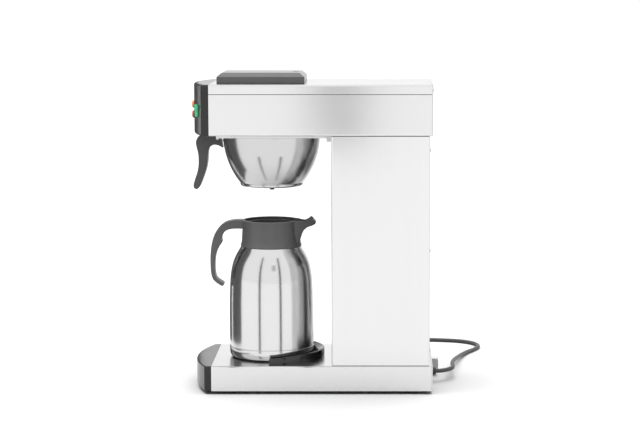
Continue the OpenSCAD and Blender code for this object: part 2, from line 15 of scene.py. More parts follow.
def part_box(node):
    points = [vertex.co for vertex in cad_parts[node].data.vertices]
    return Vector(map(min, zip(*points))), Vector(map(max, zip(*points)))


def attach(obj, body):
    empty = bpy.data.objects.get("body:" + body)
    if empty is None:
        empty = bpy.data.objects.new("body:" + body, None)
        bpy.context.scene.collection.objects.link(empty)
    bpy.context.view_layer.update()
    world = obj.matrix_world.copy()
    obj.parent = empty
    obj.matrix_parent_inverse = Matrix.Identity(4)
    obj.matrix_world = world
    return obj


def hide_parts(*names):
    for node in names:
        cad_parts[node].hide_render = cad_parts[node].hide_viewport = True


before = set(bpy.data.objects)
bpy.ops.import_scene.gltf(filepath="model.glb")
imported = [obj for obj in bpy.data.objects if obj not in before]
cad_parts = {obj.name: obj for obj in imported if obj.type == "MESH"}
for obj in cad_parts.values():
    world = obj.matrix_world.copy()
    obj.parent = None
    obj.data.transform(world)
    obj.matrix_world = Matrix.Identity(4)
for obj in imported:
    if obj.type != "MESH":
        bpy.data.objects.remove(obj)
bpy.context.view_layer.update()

MM = 0.001
print("nodes in the frame:", len(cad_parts))

# %% [markdown]
# ## Camera
# A long lens from the right-hand side, a little above the head, so that upright edges stay nearly
# upright. The shift moves the machine across the picture without turning the camera.

# %% Camera
CAMERA_PLACE = (3.20043, 0.11377, 0.66190)
CAMERA_TURN = (radians(83.266), 0, radians(90))
LONG_LENS = 109.47
SIDE_SHIFT = -0.1016
bpy.ops.object.select_all(action="DESELECT")
bpy.ops.object.camera_add(location=CAMERA_PLACE, rotation=CAMERA_TURN)
camera = bpy.context.active_object
camera.name = "camera"
camera.data.sensor_width = 36
camera.data.lens = LONG_LENS
camera.data.shift_x = SIDE_SHIFT
bpy.context.scene.camera = camera
print("camera", camera.location[:])

# %% [markdown]
# ## Helpers for modelling
# An operator acts on whatever is selected, so each helper starts by selecting one object only. Faces,
# edges and corners are then picked by their place or direction, the way a person clicks on them.

# %% Select, edit and pick
def only(obj):
    """Selects one object and nothing else."""
    bpy.ops.object.select_all(action="DESELECT")
    obj.select_set(True)
    bpy.context.view_layer.objects.active = obj
    return obj


def start_edit(obj):
    only(obj)
    bpy.ops.object.mode_set(mode="EDIT")
    bpy.ops.mesh.select_all(action="SELECT")


def end_edit():
    bpy.ops.object.mode_set(mode="OBJECT")


def middle_and_direction(item):
    """A face's or a corner's place and normal, or an edge's middle and the way it runs."""
    if isinstance(item, bmesh.types.BMFace):
        return item.calc_center_median(), item.normal
    if isinstance(item, bmesh.types.BMEdge):
        one, two = (corner.co for corner in item.verts)
        return (one + two) / 2, (two - one).normalized()
    return item.co.copy(), item.normal


def pick(obj, test, kind="FACE"):
    """In edit mode, selects only the faces, edges or corners for which test(middle, direction) is true."""
    bpy.ops.mesh.select_mode(type=kind)
    bpy.ops.mesh.select_all(action="DESELECT")
    mesh = bmesh.from_edit_mesh(obj.data)
    items = {"FACE": mesh.faces, "EDGE": mesh.edges, "VERT": mesh.verts}[kind]
    chosen = [item for item in items if test(*middle_and_direction(item))]
    for item in chosen:
        item.select_set(True)
    bmesh.update_edit_mesh(obj.data)
    return len(chosen)


def new_piece(name):
    """Names the primitive that was just added."""
    obj = bpy.context.active_object
    obj.name = obj.data.name = name
    return obj


# %% Modifiers and shading
def modify(obj, kind, **settings):
    """Adds one modifier, sets it and applies it."""
    only(obj)
    modifier = obj.modifiers.new(kind.lower(), kind)
    for key, value in settings.items():
        setattr(modifier, key, value)
    bpy.ops.object.modifier_apply(modifier=modifier.name)


def soften(obj, width, segments=2, angle=40):
    """Small rounds on every sharp edge, and clean shading across the flat faces."""
    modify(obj, "BEVEL", width=width, segments=segments, limit_method="ANGLE", angle_limit=radians(angle),
           use_clamp_overlap=True)
    smooth(obj)


def smooth(obj, angle=50):
    """Smooth shading up to an angle, in degrees, and sharp edges past it."""
    only(obj)
    bpy.ops.object.shade_smooth_by_angle(angle=radians(angle))
    modify(obj, "WEIGHTED_NORMAL", keep_sharp=True)


def settle(obj):
    """Puts the object's place, turn and size into its mesh."""
    only(obj)
    bpy.ops.object.transform_apply(location=True, rotation=True, scale=True)
    return obj


def cut(obj, *cutters):
    """Cuts the cutters' shapes out of obj and deletes them."""
    for cutter in cutters:
        modify(obj, "BOOLEAN", operation="DIFFERENCE", solver="EXACT", object=cutter)
        bpy.data.objects.remove(cutter)
    return obj


def join(name, *objs):
    """Several objects as one, in the first one's mesh."""
    bpy.ops.object.select_all(action="DESELECT")
    for obj in objs:
        obj.select_set(True)
    bpy.context.view_layer.objects.active = objs[0]
    bpy.ops.object.join()
    return new_piece(name)


def round_edges(obj, test, offset, segments=6):
    """Rounds the edges for which test(middle, direction) is true."""
    start_edit(obj)
    pick(obj, test, "EDGE")
    bpy.ops.mesh.bevel(offset=offset, segments=segments, affect="EDGES")
    end_edit()


# %% Blocks, outlines and turned shapes
def in_mm(points):
    """Pairs of numbers given in millimetres, as metres."""
    return [(a * MM, b * MM) for a, b in points]


def block(name, low, high):
    """A cube primitive between two corners."""
    bpy.ops.object.select_all(action="DESELECT")
    low, high = Vector(low), Vector(high)
    bpy.ops.mesh.primitive_cube_add(size=1, location=(low + high) / 2)
    obj = new_piece(name)
    obj.scale = high - low
    return settle(obj)


def outline(name, points, open_between=False):
    """A circle primitive with its corners moved to the points. open_between: last to first stays open."""
    bpy.ops.object.select_all(action="DESELECT")
    bpy.ops.mesh.primitive_circle_add(vertices=len(points), fill_type="NOTHING")
    obj = new_piece(name)
    for corner, point in zip(obj.data.vertices, points):
        corner.co = point
    if open_between:
        first, last = Vector(points[0]), Vector(points[-1])
        start_edit(obj)
        pick(obj, lambda m, d: (m - (first + last) / 2).length < 1e-7, "EDGE")
        bpy.ops.mesh.delete(type="EDGE")
        end_edit()
    return obj


def extruded(name, points, move):
    """A flat outline, filled and extruded by a move."""
    obj = outline(name, points)
    start_edit(obj)
    bpy.ops.mesh.edge_face_add()
    bpy.ops.mesh.extrude_region_move(TRANSFORM_OT_translate={"value": move})
    bpy.ops.mesh.select_all(action="SELECT")
    bpy.ops.mesh.normals_make_consistent(inside=False)
    end_edit()
    return obj


def spun(name, profile, centre=(0, 0), steps=96, turn=360, from_angle=0, on_axis=False):
    """A profile of (radius, height) spun about an upright axis. on_axis: its two ends lie on the axis."""
    x, y = centre
    c, s = cos(radians(from_angle)), sin(radians(from_angle))
    obj = outline(name, [(x + r * c, y + r * s, z) for r, z in profile], open_between=on_axis)
    start_edit(obj)
    if turn < 360:
        bpy.ops.mesh.edge_face_add()
    bpy.ops.mesh.spin(steps=steps, angle=radians(turn), center=(x, y, 0), axis=(0, 0, 1))
    bpy.ops.mesh.select_all(action="SELECT")
    bpy.ops.mesh.remove_doubles(threshold=1e-6)
    bpy.ops.mesh.normals_make_consistent(inside=False)
    end_edit()
    return obj


def curve_through(points, steps):
    """A smooth curve that passes through the points, with some steps from each to the next."""
    found = []
    count = len(points)
    for i in range(count - 1):
        a, b, c, d = (Vector(points[min(max(k, 0), count - 1)]) for k in (i - 1, i, i + 1, i + 2))
        for step in range(steps):
            t = step / steps
            found.append((2 * b + (c - a) * t + (2 * a - 5 * b + 4 * c - d) * t ** 2
                          + (3 * b - a - 3 * c + d) * t ** 3) / 2)
    return found + [Vector(points[-1])]


def laid_back(obj, place):
    """Lays a piece that was spun about Z down, so that its top faces +Y, and moves it to its place."""
    obj.data.transform(Matrix.Translation(place) @ Matrix.Rotation(radians(-90), 4, "X"))
    return obj


def middle_z(node):
    """The height of a node's middle."""
    low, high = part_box(node)
    return (low.z + high.z) / 2


def finish_piece(obj, material, body, slot, *nodes):
    """The piece gets its finish, rides on its body and stands for its CAD nodes."""
    obj.data.materials.clear()
    obj.data.materials.append(material)
    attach(obj, body)
    if nodes:
        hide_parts(*nodes)
    size = obj.dimensions / MM
    print(f"{obj.name}: {size.x:.0f} x {size.y:.0f} x {size.z:.0f} mm, {len(obj.data.polygons)} faces")
    return obj


# %% [markdown]
# ## Helpers for finishes
# A finish is a few patterns laid over each other: a fine one for the grain that one can feel, a broad
# one for the uneven shine of a used surface. Both read the object's own coordinates, in metres, so a
# scale of 1000 has features of about a millimetre, and stretching the pattern makes brush lines.

# %% Node helpers
def new_finish(name, colour, roughness, metallic=0.0, **sockets):
    """A material with its colour and shine set, and any other socket by name, with _ for a space."""
    material = bpy.data.materials.new(name)
    material.use_nodes = True
    shader = material.node_tree.nodes["Principled BSDF"]
    shader.inputs["Base Color"].default_value = (*colour, 1)
    shader.inputs["Roughness"].default_value = roughness
    shader.inputs["Metallic"].default_value = metallic
    for key, value in sockets.items():
        shader.inputs[key.replace("_", " ")].default_value = value
    return material


def pattern(material, scale, stretch=(1, 1, 1), detail=3):
    """A noise on the object's own coordinates. A small number in stretch draws the pattern out that way."""
    nodes, links = material.node_tree.nodes, material.node_tree.links
    place = nodes.new("ShaderNodeTexCoord")
    mapping = nodes.new("ShaderNodeMapping")
    mapping.inputs["Scale"].default_value = stretch
    noise = nodes.new("ShaderNodeTexNoise")
    noise.inputs["Scale"].default_value = scale
    noise.inputs["Detail"].default_value = detail
    links.new(place.outputs["Object"], mapping.inputs["Vector"])
    links.new(mapping.outputs["Vector"], noise.inputs["Vector"])
    return noise.outputs[0]


def spread(material, value, low, high, socket):
    """Sends a pattern to one of the shader's sockets, mostly as numbers from low to high."""
    nodes, links = material.node_tree.nodes, material.node_tree.links
    ramp = nodes.new("ShaderNodeMapRange")
    ramp.clamp = False
    ramp.inputs["From Min"].default_value = 0.2
    ramp.inputs["From Max"].default_value = 0.8
    ramp.inputs["To Min"].default_value = low
    ramp.inputs["To Max"].default_value = high
    links.new(value, ramp.inputs["Value"])
    links.new(ramp.outputs["Result"], nodes["Principled BSDF"].inputs[socket])


def two_tones(material, value, dark, light):
    """Mixes two colours by a pattern."""
    nodes, links = material.node_tree.nodes, material.node_tree.links
    ramp = nodes.new("ShaderNodeValToRGB")
    ramp.color_ramp.elements[0].position = 0.3
    ramp.color_ramp.elements[0].color = (*dark, 1)
    ramp.color_ramp.elements[1].position = 0.7
    ramp.color_ramp.elements[1].color = (*light, 1)
    links.new(value, ramp.inputs["Fac"])
    links.new(ramp.outputs["Color"], nodes["Principled BSDF"].inputs["Base Color"])


def relief(material, value, strength, depth):
    """Makes the surface rise and fall with a pattern, by up to depth."""
    nodes, links = material.node_tree.nodes, material.node_tree.links
    bump = nodes.new("ShaderNodeBump")
    bump.inputs["Strength"].default_value = strength
    bump.inputs["Distance"].default_value = depth
    links.new(value, bump.inputs["Height"])
    links.new(bump.outputs["Normal"], nodes["Principled BSDF"].inputs["Normal"])


# %% [markdown]
# ## Steel finishes
# The housing is thin stainless sheet, brushed along its length: long fine lines, a shine that changes
# a little from place to place. The jug and the bowl were polished as they turned, so their lines run
# round them, and the shader's stretched highlight follows the same way.

# %% Steel
GREY = Vector((1, 1, 1))


def brushed_steel(name, tone, roughness, along, anisotropy=0.0):
    """Sheet steel. along stretches the brush lines: a small number on the axis that they follow."""
    light = GREY * tone
    material = new_finish(name, light, roughness, 1.0, Anisotropic=anisotropy)
    lines = pattern(material, 1500, along, detail=4)
    streaks = pattern(material, 70, along, detail=3)
    clouds = pattern(material, 9, detail=3)
    two_tones(material, streaks, light * 0.985, light)
    spread(material, clouds, roughness * 0.93, roughness * 1.07, "Roughness")
    relief(material, lines, 0.03, 0.02 * MM)
    return material


def turned_steel(name, tone, roughness, anisotropy):
    """Steel polished as it turned about an upright axis."""
    material = brushed_steel(name, tone, roughness, (0.03, 0.03, 1), anisotropy)
    nodes, links = material.node_tree.nodes, material.node_tree.links
    tangent = nodes.new("ShaderNodeTangent")
    tangent.direction_type = "RADIAL"
    tangent.axis = "Z"
    links.new(tangent.outputs["Tangent"], nodes["Principled BSDF"].inputs["Tangent"])
    return material


panel_steel = brushed_steel("panel_steel", 0.71, 0.24, (1, 0.01, 1))
column_steel = brushed_steel("column_steel", 0.73, 0.24, (1, 1, 0.01))
back_steel = brushed_steel("back_steel", 0.66, 0.3, (0.01, 1, 1))
rolled_steel = brushed_steel("rolled_steel", 0.58, 0.2, (1, 0.01, 1))
tank_steel = brushed_steel("drawn_tank_steel", 0.7, 0.3, (1, 1, 0.05))
jug_steel = turned_steel("jug_steel", 0.67, 0.14, 0.6)
bowl_steel = turned_steel("bowl_steel", 0.56, 0.16, 0.6)
screw_steel = brushed_steel("screw_steel", 0.6, 0.3, (1, 1, 1))
plug_metal = brushed_steel("nickel_brass", 0.72, 0.18, (1, 0.05, 1))
heater_metal = brushed_steel("cast_aluminium", 0.52, 0.5, (1, 1, 1))
print("steel finishes made")

# %% [markdown]
# ## Plastics, rubber and lenses
# Moulded plastic has a fine spark-eroded texture and rubs shiny in places. Rubber and soft PVC are
# duller. The lamp lens and the rocker are tinted all through, so light goes a little way into them.

# %% Plastics
def moulded(name, colour, roughness, grain=0.04, grain_scale=1400, **sockets):
    """Moulded plastic or rubber. grain is the texture's depth in millimetres."""
    colour = Vector(colour)
    material = new_finish(name, colour, roughness, **sockets)
    texture = pattern(material, grain_scale, detail=2)
    rubs = pattern(material, 28, detail=4)
    two_tones(material, rubs, colour * 0.92, colour * 1.06)
    spread(material, rubs, roughness * 0.88, roughness * 1.15, "Roughness")
    relief(material, texture, 0.35, grain * MM)
    return material


front_plastic = moulded("front_plastic", GREY * 0.012, 0.22, grain=0.002, Specular_IOR_Level=0.25,
                        Coat_Weight=0.15, Coat_Roughness=0.1)
lid_plastic = moulded("lid_plastic", GREY * 0.045, 0.3, grain=0.02,
                      Coat_Weight=0.25, Coat_Roughness=0.15)
lever_plastic = moulded("lever_plastic", GREY * 0.035, 0.36)
jug_plastic = moulded("jug_plastic", GREY * 0.052, 0.42, grain=0.05)
gloss_plastic = moulded("gloss_plastic", GREY * 0.008, 0.09, grain=0.004)
satin_plastic = moulded("satin_plastic", GREY * 0.02, 0.4)
nylon = moulded("natural_nylon", (0.72, 0.7, 0.64), 0.45)
spacer_plastic = moulded("spacer_plastic", GREY * 0.3, 0.5)
rubber = moulded("rubber", GREY * 0.018, 0.7, grain=0.08, grain_scale=900)
cord_pvc = moulded("cord_pvc", GREY * 0.028, 0.5, grain=0.06, grain_scale=700)
hose_silicone = moulded("hose_silicone", (0.78, 0.76, 0.68), 0.35, Transmission_Weight=0.4)
amber_glow = moulded("amber_lens", (0.6, 0.16, 0.03), 0.14, grain=0.003, Coat_Weight=0.6,
                     Subsurface_Weight=0.3, Subsurface_Scale=0.003)
green_plastic = moulded("green_rocker", (0.03, 0.42, 0.17), 0.2, grain=0.004, Coat_Weight=0.5,
                        Subsurface_Weight=0.25, Subsurface_Scale=0.003)
red_plastic = moulded("red_button", (0.3, 0.03, 0.045), 0.25, grain=0.004, Coat_Weight=0.5)
print("plastics made")

# %% [markdown]
# ## Mains cord
# A round 7 mm lead leaves the gland, droops to the table and runs off to the side. What is left over is
# wound into a small round coil beside its plug. One curve carries the whole length: points listed along
# the way, a loop for the four turns, two side by side and two on top of them, then the tail.

# %% Cord
CORD_D = 7 * MM
COIL_CENTRE = Vector((-334, 132, 0)) * MM
COIL_R = 39 * MM
cord_route = [[0, 199, 19], [-1, 205.5, 19.2], [-4.5, 214, 19.6], [-11.5, 221.5, 20], [-22, 226.5, 20],
              [-36, 228.5, 20], [-60, 228.5, 19], [-86, 229.5, 17], [-112, 232, 15], [-140, 236, 12.5],
              [-170, 241, 9.5], [-200, 247, 7], [-222, 253, 5.5], [-243, 260, 4.5], [-262, 268.5, 3.8],
              [-278, 276, 3.5], [-296, 282.5, 3.5], [-316, 283.5, 3.5], [-335, 277, 3.5],
              [-350, 264, 3.5], [-360, 247, 3.5], [-366, 228, 3.5], [-370, 206, 3.5], [-373, 182, 3.5],
              [-375, 156, 3.5]]


def ease(t):
    t = min(max(t, 0), 1)
    return t * t * (3 - 2 * t)


def coil_points(step=15, change=55):
    """Outer turn, inner turn, up, inner turn, outer turn, and the end in the groove on top."""
    points = []
    for angle in range(0, 1441, step):
        inwards = ease((angle - 300) / change) - ease((angle - 900) / change)
        up = ease((angle - 600) / change)
        on_top = ease((angle - 1285) / change)
        r = COIL_R + CORD_D * (0.5 - inwards - 0.5 * on_top)
        z = CORD_D * (0.5 + up + 0.866 * on_top)
        turn = radians(180 + angle)
        points.append(COIL_CENTRE + Vector((r * cos(turn), r * sin(turn), z)))
    return points


cord_path = [Vector(point) * MM for point in cord_route] + coil_points()
tail_x = COIL_CENTRE.x - COIL_R
SLEEVE_Z = 10.5 * MM
cord_path += [Vector((tail_x, 118 * MM, 14 * MM)), Vector((tail_x, 102 * MM, SLEEVE_Z)),
              Vector((tail_x, 92 * MM, SLEEVE_Z))]
bpy.ops.object.select_all(action="DESELECT")
bpy.ops.curve.primitive_bezier_curve_add()
cord = new_piece("mains_cord")
cord.data.splines.clear()
strand = cord.data.splines.new("BEZIER")
strand.bezier_points.add(len(cord_path) - 1)
for knot, point in zip(strand.bezier_points, cord_path):
    knot.co = point
    knot.handle_left_type = knot.handle_right_type = "AUTO"
strand.resolution_u = 6
cord.data.bevel_depth = CORD_D / 2
cord.data.bevel_resolution = 3
cord.data.use_fill_caps = True
cord.data.materials.append(cord_pvc)
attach(cord, "housing")
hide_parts("power_cord", "cord_coil", "cord_tail")
print(f"cord of {sum((b - a).length for a, b in zip(cord_path, cord_path[1:])):.2f} m")

# %% [markdown]
# ## Housing shells
# The base, column and head are folded from thin sheet: a box without its open sides, with rounded
# folds, and a wall of the sheet's thickness. The same few steps make all three.

# %% Folded sheet
SHEET = 1.2 * MM
FOLD = 2.5 * MM
AXES = {"X": Vector((1, 0, 0)), "Y": Vector((0, 1, 0)), "Z": Vector((0, 0, 1))}


def folded(name, low, high, open_sides, fold_edges, wall=SHEET, fold=FOLD):
    """open_sides such as "-Y +Y -Z" are deleted; fold_edges(middle, direction) says which edges fold."""
    obj = block(name, low, high)
    start_edit(obj)
    sides = [AXES[side[1]] * (1 if side[0] == "+" else -1) for side in open_sides.split()]
    pick(obj, lambda m, n: any(n.dot(side) > 0.9 for side in sides))
    bpy.ops.mesh.delete(type="FACE")
    pick(obj, fold_edges, "EDGE")
    bpy.ops.mesh.bevel(offset=fold, segments=6, affect="EDGES")
    end_edit()
    modify(obj, "SOLIDIFY", thickness=wall, offset=-1)
    return obj


def near(a, b, reach=0.1 * MM):
    """Whether two places on an axis are the same, within a tenth of a millimetre."""
    return abs(a - b) < reach


# %% Base shell
LIP = 25 * MM
CUT_EDGE = 0.25 * MM
low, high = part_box("base_shell")
base_shell = folded("base_shell_sheet", low, high, "-Y +Y -Z",
                    lambda m, d: abs(d.y) > 0.9 and near(m.z, high.z))
lip_low = Vector((low.x + SHEET, low.y, low.z))
lip_high = Vector((low.x + LIP, high.y, low.z + SHEET))
left_lip = block("left_lip", lip_low, lip_high)
right_lip = block("right_lip", (-lip_high.x, lip_low.y, lip_low.z), (-lip_low.x, lip_high.y, lip_high.z))
base_shell = join("base_shell_sheet", base_shell, left_lip, right_lip)
soften(base_shell, CUT_EDGE)
finish_piece(base_shell, panel_steel, "housing", "stainless_panel", "base_shell")

# %% [markdown]
# The column's sheet stops a little short of the base and the head. A dark lining just inside it fills
# both gaps with painted shade, so they read as thin dark lines.

# %% Column
JOINT = 0.8 * MM
LAP = 1.0 * MM
low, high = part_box("column_shell")
column = folded("column_sheet", low + Vector((0, 0, JOINT)), high - Vector((0, 0, JOINT)), "+Y -Z +Z",
                lambda m, d: abs(d.z) > 0.9 and near(m.y, low.y))
inner_low = Vector((low.x + LAP, low.y + LAP, low.z))
inner_high = Vector((high.x - LAP, high.y, high.z))
# A dark lining behind both joints: its dark finish is painted shade inside the gaps.
shade_lining = folded("column_shade_lining", inner_low, inner_high, "+Y -Z +Z",
                lambda m, d: abs(d.z) > 0.9 and near(m.y, inner_low.y))
soften(column, 0.2 * MM)
finish_piece(column, column_steel, "housing", "stainless_panel", "column_shell")
finish_piece(shade_lining, rubber, "housing", "rubber")

# %% Head shell
low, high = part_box("head_shell")
head = folded("head_sheet", low, high, "-Y +Y +Z", lambda m, d: abs(d.y) > 0.9 and near(m.z, low.z))
soften(head, CUT_EDGE)
finish_piece(head, panel_steel, "housing", "stainless_panel", "head_shell")

# %% [markdown]
# The cover sits on the head like a shallow lid: its skirt ends a little above the head's side, and a
# dark strip behind closes the gap with painted shade, which is why that seam reads as a thin dark line.
# Four cuts across its top face mark out the opening that water is poured through.

# %% Top cover
SEAM_GAP = 0.8 * MM
HOLE_LIP = 5 * MM
HOLE_CORNER = 6 * MM
low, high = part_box("head_cover")
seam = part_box("head_shell")[1].z
cover = block("cover_sheet", (low.x, low.y, seam + SEAM_GAP), high)
hole_low, hole_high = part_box("fill_funnel")
hole_x = 46 * MM
hole_y = (hole_low.y + HOLE_LIP, hole_high.y - HOLE_LIP)
start_edit(cover)
pick(cover, lambda m, n: n.z < -0.9 or abs(n.y) > 0.9)
bpy.ops.mesh.delete(type="FACE")
for place, normal in [((-hole_x, 0, 0), (1, 0, 0)), ((hole_x, 0, 0), (1, 0, 0)),
                      ((0, hole_y[0], 0), (0, 1, 0)), ((0, hole_y[1], 0), (0, 1, 0))]:
    pick(cover, lambda m, n: n.z > 0.9)
    bpy.ops.mesh.bisect(plane_co=place, plane_no=normal)
pick(cover, lambda m, n: n.z > 0.9 and abs(m.x) < hole_x and hole_y[0] < m.y < hole_y[1])
bpy.ops.mesh.delete(type="FACE")
pick(cover, lambda m, n: near(abs(m.x), hole_x) and any(near(m.y, y) for y in hole_y), "VERT")
bpy.ops.mesh.bevel(offset=HOLE_CORNER, segments=6, affect="VERTICES")
pick(cover, lambda m, d: abs(d.y) > 0.9 and near(m.z, high.z) and near(abs(m.x), high.x), "EDGE")
bpy.ops.mesh.bevel(offset=FOLD, segments=6, affect="EDGES")
end_edit()
modify(cover, "SOLIDIFY", thickness=SHEET, offset=-1)
soften(cover, CUT_EDGE)
finish_piece(cover, panel_steel, "housing", "stainless_panel", "head_cover")

STRIP_HALF = 0.5 * MM
STRIP_INSET = 1.8 * MM
STRIP_RISE = 4 * MM
# Two dark strips stand in the seam's gap as painted shade.
shade_strips = [block("strip", (x - STRIP_HALF, low.y + STRIP_HALF, low.z),
                (x + STRIP_HALF, high.y, seam + STRIP_RISE))
          for x in (low.x + STRIP_INSET, high.x - STRIP_INSET)]
finish_piece(join("seam_shade_strips", *shade_strips), rubber, "housing", "rubber")

# %% [markdown]
# ## Back plates
# Flat plates close the base and the head at the back, rounded at their upper corners like the sheets
# they meet. A fine bevel keeps their cut edges crisp.

# %% Back plates
for name, node in (("base_back_plate", "base_back"), ("head_back_plate", "head_back")):
    low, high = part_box(node)
    plate = block(name, low, high)
    round_edges(plate, lambda m, d: abs(d.y) > 0.9 and near(m.z, high.z), FOLD)
    soften(plate, 0.3 * MM)
    finish_piece(plate, back_steel, "housing", "back_sheet", node)

# %% [markdown]
# ## Front mouldings
# Base and head both end in a bowed plastic nose. Seen from above each is a flat bar with a shallow arc
# in front, so the outline is that arc with rounded corners where it meets the short straight cheeks.

# %% Bowed mouldings
CHEEK = 10 * MM


def bow_of(node):
    """The front arc's radius and the Y of its centre."""
    low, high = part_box(node)
    bow = high.y - CHEEK - low.y
    r = (high.x ** 2 + bow ** 2) / (2 * bow)
    return r, low.y + r


def bowed_outline(node, corner=7 * MM, steps=28):
    """The moulding's shape from above: cheeks, rounded corners and the shallow arc of the front."""
    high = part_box(node)[1]
    half, cheek = high.x, high.y - CHEEK
    r, arc_y = bow_of(node)
    reach = half - corner
    points = [Vector((-half, high.y, 0)), Vector((-half, cheek + corner * 0.35, 0))]
    for i in range(steps + 1):
        x = reach * (2 * i / steps - 1)
        points.append(Vector((x, arc_y - (r * r - x * x) ** 0.5, 0)))
    points += [Vector((half, cheek + corner * 0.35, 0)), Vector((half, high.y, 0))]
    rounded = points[:2]
    for start, through, end in ((points[1], Vector((-half, cheek - 2 * MM, 0)), points[2]),
                                (points[-3], Vector((half, cheek - 2 * MM, 0)), points[-2])):
        arc = [start * (1 - t) ** 2 + through * 2 * t * (1 - t) + end * t * t for t in
               (0.17, 0.33, 0.5, 0.67, 0.83)]
        rounded += arc + (points[2:-2] if start == points[1] else [])
    return rounded + points[-2:]


def bowed_moulding(name, node, edge):
    """The outline raised to the moulding's height, with every edge round but those at its flat back."""
    low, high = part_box(node)
    obj = extruded(name, [(p.x, p.y, low.z) for p in bowed_outline(node)], (0, 0, high.z - low.z))
    round_edges(obj, lambda m, d: abs(d.z) < 0.1 and m.y < high.y - MM, edge, segments=5)
    return obj


base_front = bowed_moulding("base_front_moulding", "base_front", 2.2 * MM)
soften(base_front, 0.3 * MM)
finish_piece(base_front, front_plastic, "housing", "front_moulding", "base_front")

# %% [markdown]
# ## Control panel
# The same bowed bar, taller and with softer edges. Three pockets are cut into it for the switches, each
# square to the arc where it sits, so one function gives the place and turn of anything on the panel.

# %% Places on the panel
PANEL_R, PANEL_ARC_Y = bow_of("control_panel")
ROCKER_X = 72 * MM
ROCKER_Z = middle_z("rocker_housing")
LAMP_Z = middle_z("amber_lens")
BUTTON_Z = middle_z("warm_button")


def on_panel(obj, x, z, tilt=0.0):
    """Moves a piece made at the origin, facing -Y, to its place on the bowed front."""
    turn = (x / PANEL_R) * (1 + (x / PANEL_R) ** 2 / 6)
    place = Vector((x, PANEL_ARC_Y - (PANEL_R ** 2 - x ** 2) ** 0.5, z))
    obj.data.transform(Matrix.Translation(place) @ Matrix.Rotation(turn, 4, "Z")
                       @ Matrix.Rotation(tilt, 4, "X"))
    return obj


def faced(obj):
    """Lays a piece that was spun about Z down, so that its top faces -Y."""
    obj.data.transform(Matrix.Rotation(radians(90), 4, "X"))
    return obj


panel = bowed_moulding("control_panel_moulding", "control_panel", 3.5 * MM)
pocket = on_panel(block("pocket", Vector((-7.4, -5, -11)) * MM, Vector((7.4, 14, 11)) * MM),
                  ROCKER_X, ROCKER_Z)
BORE = [(0, -12), (7, -12), (7, 5), (0, 5)]
bores = [on_panel(faced(spun("bore", in_mm(BORE), steps=48, on_axis=True)), 0, z)
         for z in (LAMP_Z, BUTTON_Z)]
cut(panel, pocket, *bores)
smooth(panel, 40)
finish_piece(panel, front_plastic, "housing", "front_moulding", "control_panel")

# %% [markdown]
# ## Switches
# A rocker in a rectangular frame, and a round lamp and a round button in ring frames. The rings and
# caps are turned shapes laid on their side; the rocker is an outline with a hollow face, extruded across.

# %% Switch frames
frame_outer = block("rocker_frame", Vector((-7.6, -0.5, -11)) * MM, Vector((7.6, 0.6, 11)) * MM)
frame_body = block("rocker_box", Vector((-7.2, 0, -10.8)) * MM, Vector((7.2, 18, 10.8)) * MM)
well = block("well", Vector((-6.5, -3, -10.1)) * MM, Vector((6.5, 15, 10.1)) * MM)
modify(frame_outer, "BEVEL", width=0.5 * MM, segments=3)
rocker_frame = join("rocker_frame", frame_outer, frame_body)
cut(rocker_frame, well)
on_panel(rocker_frame, ROCKER_X, ROCKER_Z)
smooth(rocker_frame, 35)
finish_piece(rocker_frame, satin_plastic, "housing", "black_plastic", "rocker_housing")

RING = [(6.35, -4), (6.35, 0.5), (6.9, 1), (7.4, 1), (7.9, 0.5), (7.9, 0), (6.9, 0), (6.9, -14),
        (6.35, -14)]
for name, node, z in (("lamp_ring", "lamp_holder", LAMP_Z), ("button_ring", "button_housing", BUTTON_Z)):
    ring = on_panel(faced(spun(name, in_mm(RING), steps=48)), 0, z)
    smooth(ring, 35)
    finish_piece(ring, satin_plastic, "housing", "black_plastic", node)

# %% Rocker, lamp lens and button
KEY_FACE, KEY_HALF, KEY_HOLLOW = -3.4, 9.6, 0.5
REST_TILT = radians(4)
hollow = [(KEY_FACE + KEY_HOLLOW * cos(pi * z / (2 * KEY_HALF)) ** 2, z) for z in range(-9, 10)]
side_outline = [(KEY_FACE, -KEY_HALF)] + hollow
side_outline += [(KEY_FACE, KEY_HALF), (1.5, KEY_HALF), (6, 5), (6, -5), (1.5, -KEY_HALF)]
rocker = extruded("rocker_key", [Vector((-6.2, y, z)) * MM for y, z in side_outline], (12.4 * MM, 0, 0))
modify(rocker, "BEVEL", width=0.5 * MM, segments=3, limit_method="ANGLE", angle_limit=radians(50))
on_panel(rocker, ROCKER_X, ROCKER_Z, REST_TILT)
smooth(rocker, 35)
finish_piece(rocker, green_plastic, "rocker", "green_switch", "brew_rocker")

CAP = [(0, 4.5), (3, 4.4), (4.8, 4.1), (5.6, 3.6), (6, 2.8), (6, -8), (0, -8)]
caps = (("lamp_lens", "amber_lens", LAMP_Z, amber_glow, "housing", "amber_lens"),
        ("warming_button", "warm_button", BUTTON_Z, red_plastic, "button", "red_button"))
for name, node, z, finish, body, slot in caps:
    cap = on_panel(faced(spun(name, in_mm(CAP), steps=48, on_axis=True)), 0, z)
    smooth(cap, 40)
    finish_piece(cap, finish, body, slot, node)

# %% [markdown]
# ## Fill lid
# A plain cap with sloped edges. It starts as a block; the slope is the top face pushed up and drawn in,
# the rim that centres it in the opening is the bottom face inset and pushed down, then inset and
# pushed up again to hollow it. A shallow curved nick near the back gives a fingernail something to hold.

